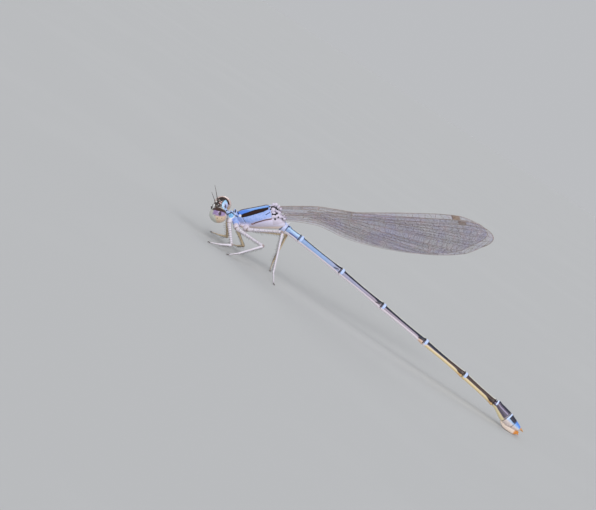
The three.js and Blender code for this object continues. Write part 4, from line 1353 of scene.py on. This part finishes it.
def spine_tree():
    """A tapered spine on each point, turned along its lie and as long as its reach."""
    tree, entry, end, keys = new_tree("spines", (
        ("Root Radius", "NodeSocketFloat", 0.00001),
        ("Variation", "NodeSocketFloat", 0.15),
        ("Seed", "NodeSocketInt", SPINE_SEED),
        ("Material", "NodeSocketMaterial", None),
    ))
    link = tree.links.new
    cone = tree.nodes.new("GeometryNodeMeshCone")
    cone.inputs["Vertices"].default_value = 5
    cone.inputs["Radius Top"].default_value = 0.0
    cone.inputs["Depth"].default_value = 1.0
    link(entry.outputs["Root Radius"], cone.inputs["Radius Bottom"])
    align = tree.nodes.new("FunctionNodeAlignRotationToVector")
    align.axis = "Z"
    link(named(tree, "lie", "FLOAT_VECTOR"), align.inputs["Vector"])
    size = tree.nodes.new("ShaderNodeCombineXYZ")
    size.inputs["X"].default_value = 1.0
    size.inputs["Y"].default_value = 1.0
    vary = tree.nodes.new("FunctionNodeRandomValue")
    vary.data_type = "FLOAT"
    low = tree.nodes.new("ShaderNodeMath")
    low.operation = "SUBTRACT"
    low.inputs[0].default_value = 1.0
    link(entry.outputs["Variation"], low.inputs[1])
    link(low.outputs[0], vary.inputs[2])
    link(entry.outputs["Seed"], vary.inputs["Seed"])
    reach = tree.nodes.new("ShaderNodeMath")
    reach.operation = "MULTIPLY"
    link(named(tree, "reach", "FLOAT"), reach.inputs[0])
    link(vary.outputs[1], reach.inputs[1])
    link(reach.outputs[0], size.inputs["Z"])
    grow = tree.nodes.new("GeometryNodeInstanceOnPoints")
    link(entry.outputs["Geometry"], grow.inputs["Points"])
    link(cone.outputs["Mesh"], grow.inputs["Instance"])
    link(align.outputs["Rotation"], grow.inputs["Rotation"])
    link(size.outputs["Vector"], grow.inputs["Scale"])
    dress(tree, entry, end, grow.outputs["Instances"])
    return tree, keys


def vein_tree():
    """A round tube along each edge path, as thick as its points say."""
    tree, entry, end, keys = new_tree("vein_tubes", (
        ("Sides", "NodeSocketInt", 6),
        ("Material", "NodeSocketMaterial", None),
    ))
    link = tree.links.new
    path = tree.nodes.new("GeometryNodeMeshToCurve")
    link(entry.outputs["Geometry"], path.inputs["Mesh"])
    round_line = tree.nodes.new("GeometryNodeCurvePrimitiveCircle")
    round_line.inputs["Radius"].default_value = 1.0
    link(entry.outputs["Sides"], round_line.inputs["Resolution"])
    tube = tree.nodes.new("GeometryNodeCurveToMesh")
    tube.inputs["Fill Caps"].default_value = True
    link(path.outputs["Curve"], tube.inputs["Curve"])
    link(round_line.outputs["Curve"], tube.inputs["Profile Curve"])
    link(named(tree, "thick", "FLOAT"), tube.inputs["Scale"])
    dress(tree, entry, end, tube.outputs["Mesh"])
    return tree, keys


SPINES = spine_tree()
VEIN_TUBES = vein_tree()


def grown(mesh, tree_and_keys, values):
    """The plain mesh that a tree makes from a mesh, with the tree's inputs set."""
    tree, keys = tree_and_keys
    blank = bpy.data.objects.new("blank", mesh)
    bpy.context.scene.collection.objects.link(blank)
    modifier = blank.modifiers.new("grow", "NODES")
    modifier.node_group = tree
    for label, value in values.items():
        modifier[keys[label]] = value
    shaped = bpy.data.meshes.new_from_object(blank.evaluated_get(bpy.context.evaluated_depsgraph_get()))
    blank.modifiers.remove(modifier)
    bpy.data.objects.remove(blank)
    return shaped


def grow_spines(name, roots, lies, reaches, radius, material):
    mesh = mesh_of(name, roots * MM + ORIGIN, [])
    lie = mesh.attributes.new("lie", "FLOAT_VECTOR", "POINT")
    lie.data.foreach_set("vector", lies.astype(np.float32).ravel())
    reach = mesh.attributes.new("reach", "FLOAT", "POINT")
    reach.data.foreach_set("value", (reaches * MM).astype(np.float32))
    shaped = grown(mesh, SPINES, {"Root Radius": radius * MM, "Seed": SPINE_SEED, "Material": material})
    piece(name, shaped, material)


# Wings
def vein_shares(s):
    """For each station along the wing, the share of the width and the pleat height of every long vein."""
    shares = {}
    pleats = {}
    for number, (name, points, parent, _) in enumerate(LONG_VEINS):
        places, values = zip(*points)
        share = through(places, values, s)
        birth = places[0]
        if parent:
            share = np.where(s < birth, shares[parent], share)
            base = pleats[parent]
        else:
            base = np.zeros(len(s))
        share = np.where(s > places[-1], values[-1], share)
        ridge = PLEAT * (1 if number % 2 else -1)
        grow = step(birth, birth + 0.12, s)
        if name in ("hind_margin", "costa"):
            ridge = 0.0
        shares[name] = np.clip(share, 0, 1)
        pleats[name] = base * (1 - grow) + ridge * grow
    table = np.maximum.accumulate(np.array([shares[name] for name in VEIN_NAMES]), axis=0)
    folds = np.array([pleats[name] for name in VEIN_NAMES]) * (1 - step(0.88, 1.0, s))
    folds = np.where(table > 0.985, 0, folds)
    folds = np.where(table < 0.005, 0, folds)
    return table, folds


def wing_points(wing, side, s, c, lift):
    """Places on a wing at shares of its length and width, lifted off its middle plane."""
    way, rise = wing_ways(wing, side)
    costa = np.array(wing["costa"], float)
    margin = np.array(wing["margin"], float)
    top_along = s * costa[-1, 0]
    low_along = s * margin[-1, 0]
    top = through(costa[:, 0], costa[:, 1], top_along)
    low = through(margin[:, 0], margin[:, 1], low_along)
    bulge = (wing["length"] - (costa[-1, 0] + margin[-1, 0]) / 2) * step(0.55, 1, s)
    along = low_along + (top_along - low_along) * c + bulge * 4 * c * (1 - c)
    height = low + (top - low) * c
    near, far, turn = wing["y"]
    y = side * (near + (far - near) * step(0, turn, top_along)) + lift
    base = np.array([wing["root"][0], 0, wing["root"][1]])
    height = height - OUTLINE_INSET * step(0.6, 1, s) * (2 * c - 1)
    return base + along[:, None] * way + height[:, None] * rise + y[:, None] * np.array([0, 1.0, 0])


def make_wing(kind, side_name, membrane_shell, vein_shell):
    wing = WINGS[kind]
    side = -1 if side_name == "left" else 1
    s = np.linspace(0, 1, WING_STATIONS)
    table, folds = vein_shares(s)
    make_membrane(kind, side_name, wing, side, s, table, folds, membrane_shell)
    make_veins(kind, side_name, wing, side, s, table, folds, vein_shell)


def make_membrane(kind, side_name, wing, side, s, table, folds, shell):
    columns = []
    lifts = []
    for k in range(len(table) - 1):
        for j in range(STRIP_STEPS):
            t = j / STRIP_STEPS
            columns.append(table[k] * (1 - t) + table[k + 1] * t)
            lifts.append(folds[k] * (1 - t) + folds[k + 1] * t)
    columns.append(table[-1])
    lifts.append(folds[-1])
    columns = np.array(columns).T
    lifts = np.array(lifts).T
    rows, width = columns.shape
    where = np.repeat(s, width)
    sheets = []
    for half in (-MEMBRANE_HALF, MEMBRANE_HALF):
        sheets.append(wing_points(wing, side, where, columns.ravel(), lifts.ravel() + half))
    count = rows * width
    faces = []
    for i in range(rows - 1):
        for k in range(width - 1):
            a, b, c, d = i * width + k, (i + 1) * width + k, (i + 1) * width + k + 1, i * width + k + 1
            faces.append((a, b, c, d))
            faces.append((a + count, d + count, c + count, b + count))
    edge = [i * width for i in range(rows)] + [(rows - 1) * width + k for k in range(1, width)]
    edge += [i * width + width - 1 for i in range(rows - 2, -1, -1)] + list(range(width - 2, 0, -1))
    for a, b in zip(edge, edge[1:] + edge[:1]):
        faces.append((a, a + count, b + count, b))
    mesh = mesh_of(f"membrane_{kind}_{side_name}", np.vstack(sheets) * MM + ORIGIN, faces)
    clean_mesh(mesh, 0.002 * MM)
    piece(f"membrane_{kind}_{side_name}", mesh, shell, (f"{kind}_{side_name}",))


def clean_mesh(mesh, distance):
    """Welds points that coincide, drops faces with no area and turns the rest outwards."""
    work = bmesh.new()
    work.from_mesh(mesh)
    bmesh.ops.remove_doubles(work, verts=work.verts, dist=distance)
    bmesh.ops.dissolve_degenerate(work, edges=work.edges, dist=distance * 0.5)
    bmesh.ops.recalc_face_normals(work, faces=work.faces)
    work.to_mesh(mesh)
    work.free()


def make_veins(kind, side_name, wing, side, s, table, folds, shell):
    points = []
    edges = []
    thick = []

    def add_path(places, shares, lifts, widths):
        start = sum(len(p) for p in points)
        points.append(wing_points(wing, side, np.asarray(places), np.asarray(shares), np.asarray(lifts)))
        edges.extend((start + i, start + i + 1) for i in range(len(places) - 1))
        thick.extend(widths)

    for k, (name, line, _, widths) in enumerate(LONG_VEINS):
        first, last = line[0][0], line[-1][0]
        run = (s >= first - 1e-6) & (s <= last + 1e-6)
        share = (s[run] - first) / (last - first)
        width = (widths[0] + (widths[1] - widths[0]) * share) * VEIN_SHARE
        if name == "costa":
            width = width * (1 + 0.35 * hill(s[run], NODUS, 0.006))
        add_path(s[run], table[k][run], folds[k][run], width)
    add_path(np.ones(30), np.linspace(0, 1, 30), np.zeros(30), np.full(30, 0.022))
    random = np.random.default_rng(11 if kind == "forewing" else 12)
    spacing = CROSS_SPACING / wing["length"]
    for k in range(len(table) - 1):
        at = 0.1 + random.uniform(0, spacing)
        while at < 0.985:
            gap = np.interp(at, s, table[k + 1]) - np.interp(at, s, table[k])
            crowded = at < 0.35 and k >= RADIUS
            if gap > 0.035 and not crowded:
                slant = random.uniform(-0.25, 0.25) * spacing
                ends = np.array([at - slant, at + slant])
                shares = [np.interp(ends[0], s, table[k]), np.interp(ends[1], s, table[k + 1])]
                lifts = [np.interp(ends[0], s, folds[k]), np.interp(ends[1], s, folds[k + 1])]
                add_path(ends, shares, lifts, (CROSS_HALF, CROSS_HALF))
            at += spacing * random.uniform(0.8, 1.2)
    for at in (0.11, 0.19, NODUS):
        shares = (np.interp(at, s, table[RADIUS]), 1.0)
        lifts = (np.interp(at, s, folds[RADIUS]), 0.0)
        add_path((at, at), shares, lifts, (0.028, 0.028))
    mesh = bpy.data.meshes.new("paths")
    mesh.from_pydata((np.vstack(points) * MM + ORIGIN).tolist(), edges, [])
    layer = mesh.attributes.new("thick", "FLOAT", "POINT")
    layer.data.foreach_set("value", (np.array(thick) * MM).astype(np.float32))
    shaped = grown(mesh, VEIN_TUBES, {"Sides": 6, "Material": shell})
    piece(f"veins_{kind}_{side_name}", shaped, shell)
    make_stigma(kind, side_name, wing, side, s, table, folds)


def make_stigma(kind, side_name, wing, side, s, table, folds):
    """The thickened dark cell near the wing's tip, a slanted pad between the front edge and the next vein."""
    rows, columns = 14, 12
    rings = []
    for i in range(rows):
        v = i / (rows - 1)
        ring = []
        for j in range(columns):
            turn = 2 * math.pi * j / columns
            u = 0.5 - 0.5 * math.cos(turn)
            at = STIGMA[0] + (STIGMA[1] - STIGMA[0]) * u - 0.006 * (1 - v)
            low = np.interp(at, s, table[RADIUS])
            share = low + (0.995 - low) * v
            puff = 0.03 * math.sin(turn) * (0.35 + 0.65 * math.sin(math.pi * v))
            lift = np.interp(at, s, folds[RADIUS]) * (1 - v) + puff
            ring.append(wing_points(wing, side, np.array([at]), np.array([share]), np.array([lift]))[0])
        rings.append(ring)
    mesh = grid_mesh("stigma", [ring_skin(rings)])
    clean_mesh(mesh, 0.0005 * MM)
    shell_name = f"stigma_shell_{kind}_{side_name}"
    shade = plain_finish(shell_name, rgb(146, 124, 108), rgb(164, 140, 124), rough=0.4, alpha=0.6)
    piece(f"stigma_{kind}_{side_name}", mesh, shade)


# Setting
def set_camera():
    """Level with the insect's side, rolled as the photo is."""
    view = np.array([0, math.cos(CAMERA_RISE), -math.sin(CAMERA_RISE)])
    up = np.array([0, math.sin(CAMERA_RISE), math.cos(CAMERA_RISE)])
    right = np.array([1.0, 0, 0])
    across = math.cos(CAMERA_ROLL) * right + math.sin(CAMERA_ROLL) * up
    tall = -math.sin(CAMERA_ROLL) * right + math.cos(CAMERA_ROLL) * up
    spot = (CAMERA_AIM - view * CAMERA_REACH) * MM + ORIGIN
    data = bpy.data.cameras.new("camera")
    data.lens = LENS
    data.sensor_width = SENSOR
    data.clip_start = 0.002
    data.clip_end = 20
    camera = bpy.data.objects.new("camera", data)
    turn = np.column_stack([across, tall, -view])
    camera.matrix_world = Matrix([[*turn[i], spot[i]] for i in range(3)] + [[0, 0, 0, 1]])
    bpy.context.scene.collection.objects.link(camera)
    bpy.context.scene.camera = camera


def set_floor():
    half = 4.0
    corners = [(-half, -half, 0), (half, -half, 0), (half, half, 0), (-half, half, 0)]
    floor = bpy.data.objects.new("floor", mesh_of("floor", corners, [(0, 1, 2, 3)]))
    made = Finish("pale_floor", (0.48, 0.485, 0.49), rough=0.9)
    made.mottle(30, (0.495, 0.5, 0.505), 0.5)
    made.shader.inputs["Specular IOR Level"].default_value = 0.1
    floor.data.materials.append(made.finish(grain=0.6, height=0.01))
    bpy.context.scene.collection.objects.link(floor)


def set_lights():
    world = bpy.data.worlds.new("studio")
    world.use_nodes = True
    world.node_tree.nodes["Background"].inputs["Color"].default_value = (*WORLD_COLOUR, 1)
    bpy.context.scene.world = world
    for name, energy, spread, turn in SUNS:
        sun = bpy.data.lights.new(name, "SUN")
        sun.energy = energy
        sun.angle = math.radians(spread)
        holder = bpy.data.objects.new(name, sun)
        holder.rotation_euler = [math.radians(v) for v in turn]
        bpy.context.scene.collection.objects.link(holder)
    bpy.context.scene.view_settings.view_transform = "Standard"


set_camera()
set_floor()
set_lights()
make_thorax()
make_head()
make_eyes()
make_antennae()
make_abdomen()
make_tail()
make_sheath()
LEG_SHELL = leg_finish()
BRISTLE_SHELL = plain_finish("bristle_shell", rgb(52, 42, 40), rgb(84, 70, 62), rough=0.4)
for leg_name, leg_points in LEG_POINTS.items():
    make_leg(leg_name, leg_points, LEG_SHELL, BRISTLE_SHELL)
MEMBRANE_SHELL = membrane_finish()
VEIN_SHELL = vein_finish()
for wing_kind in WINGS:
    for wing_side in ("left", "right"):
        make_wing(wing_kind, wing_side, MEMBRANE_SHELL, VEIN_SHELL)
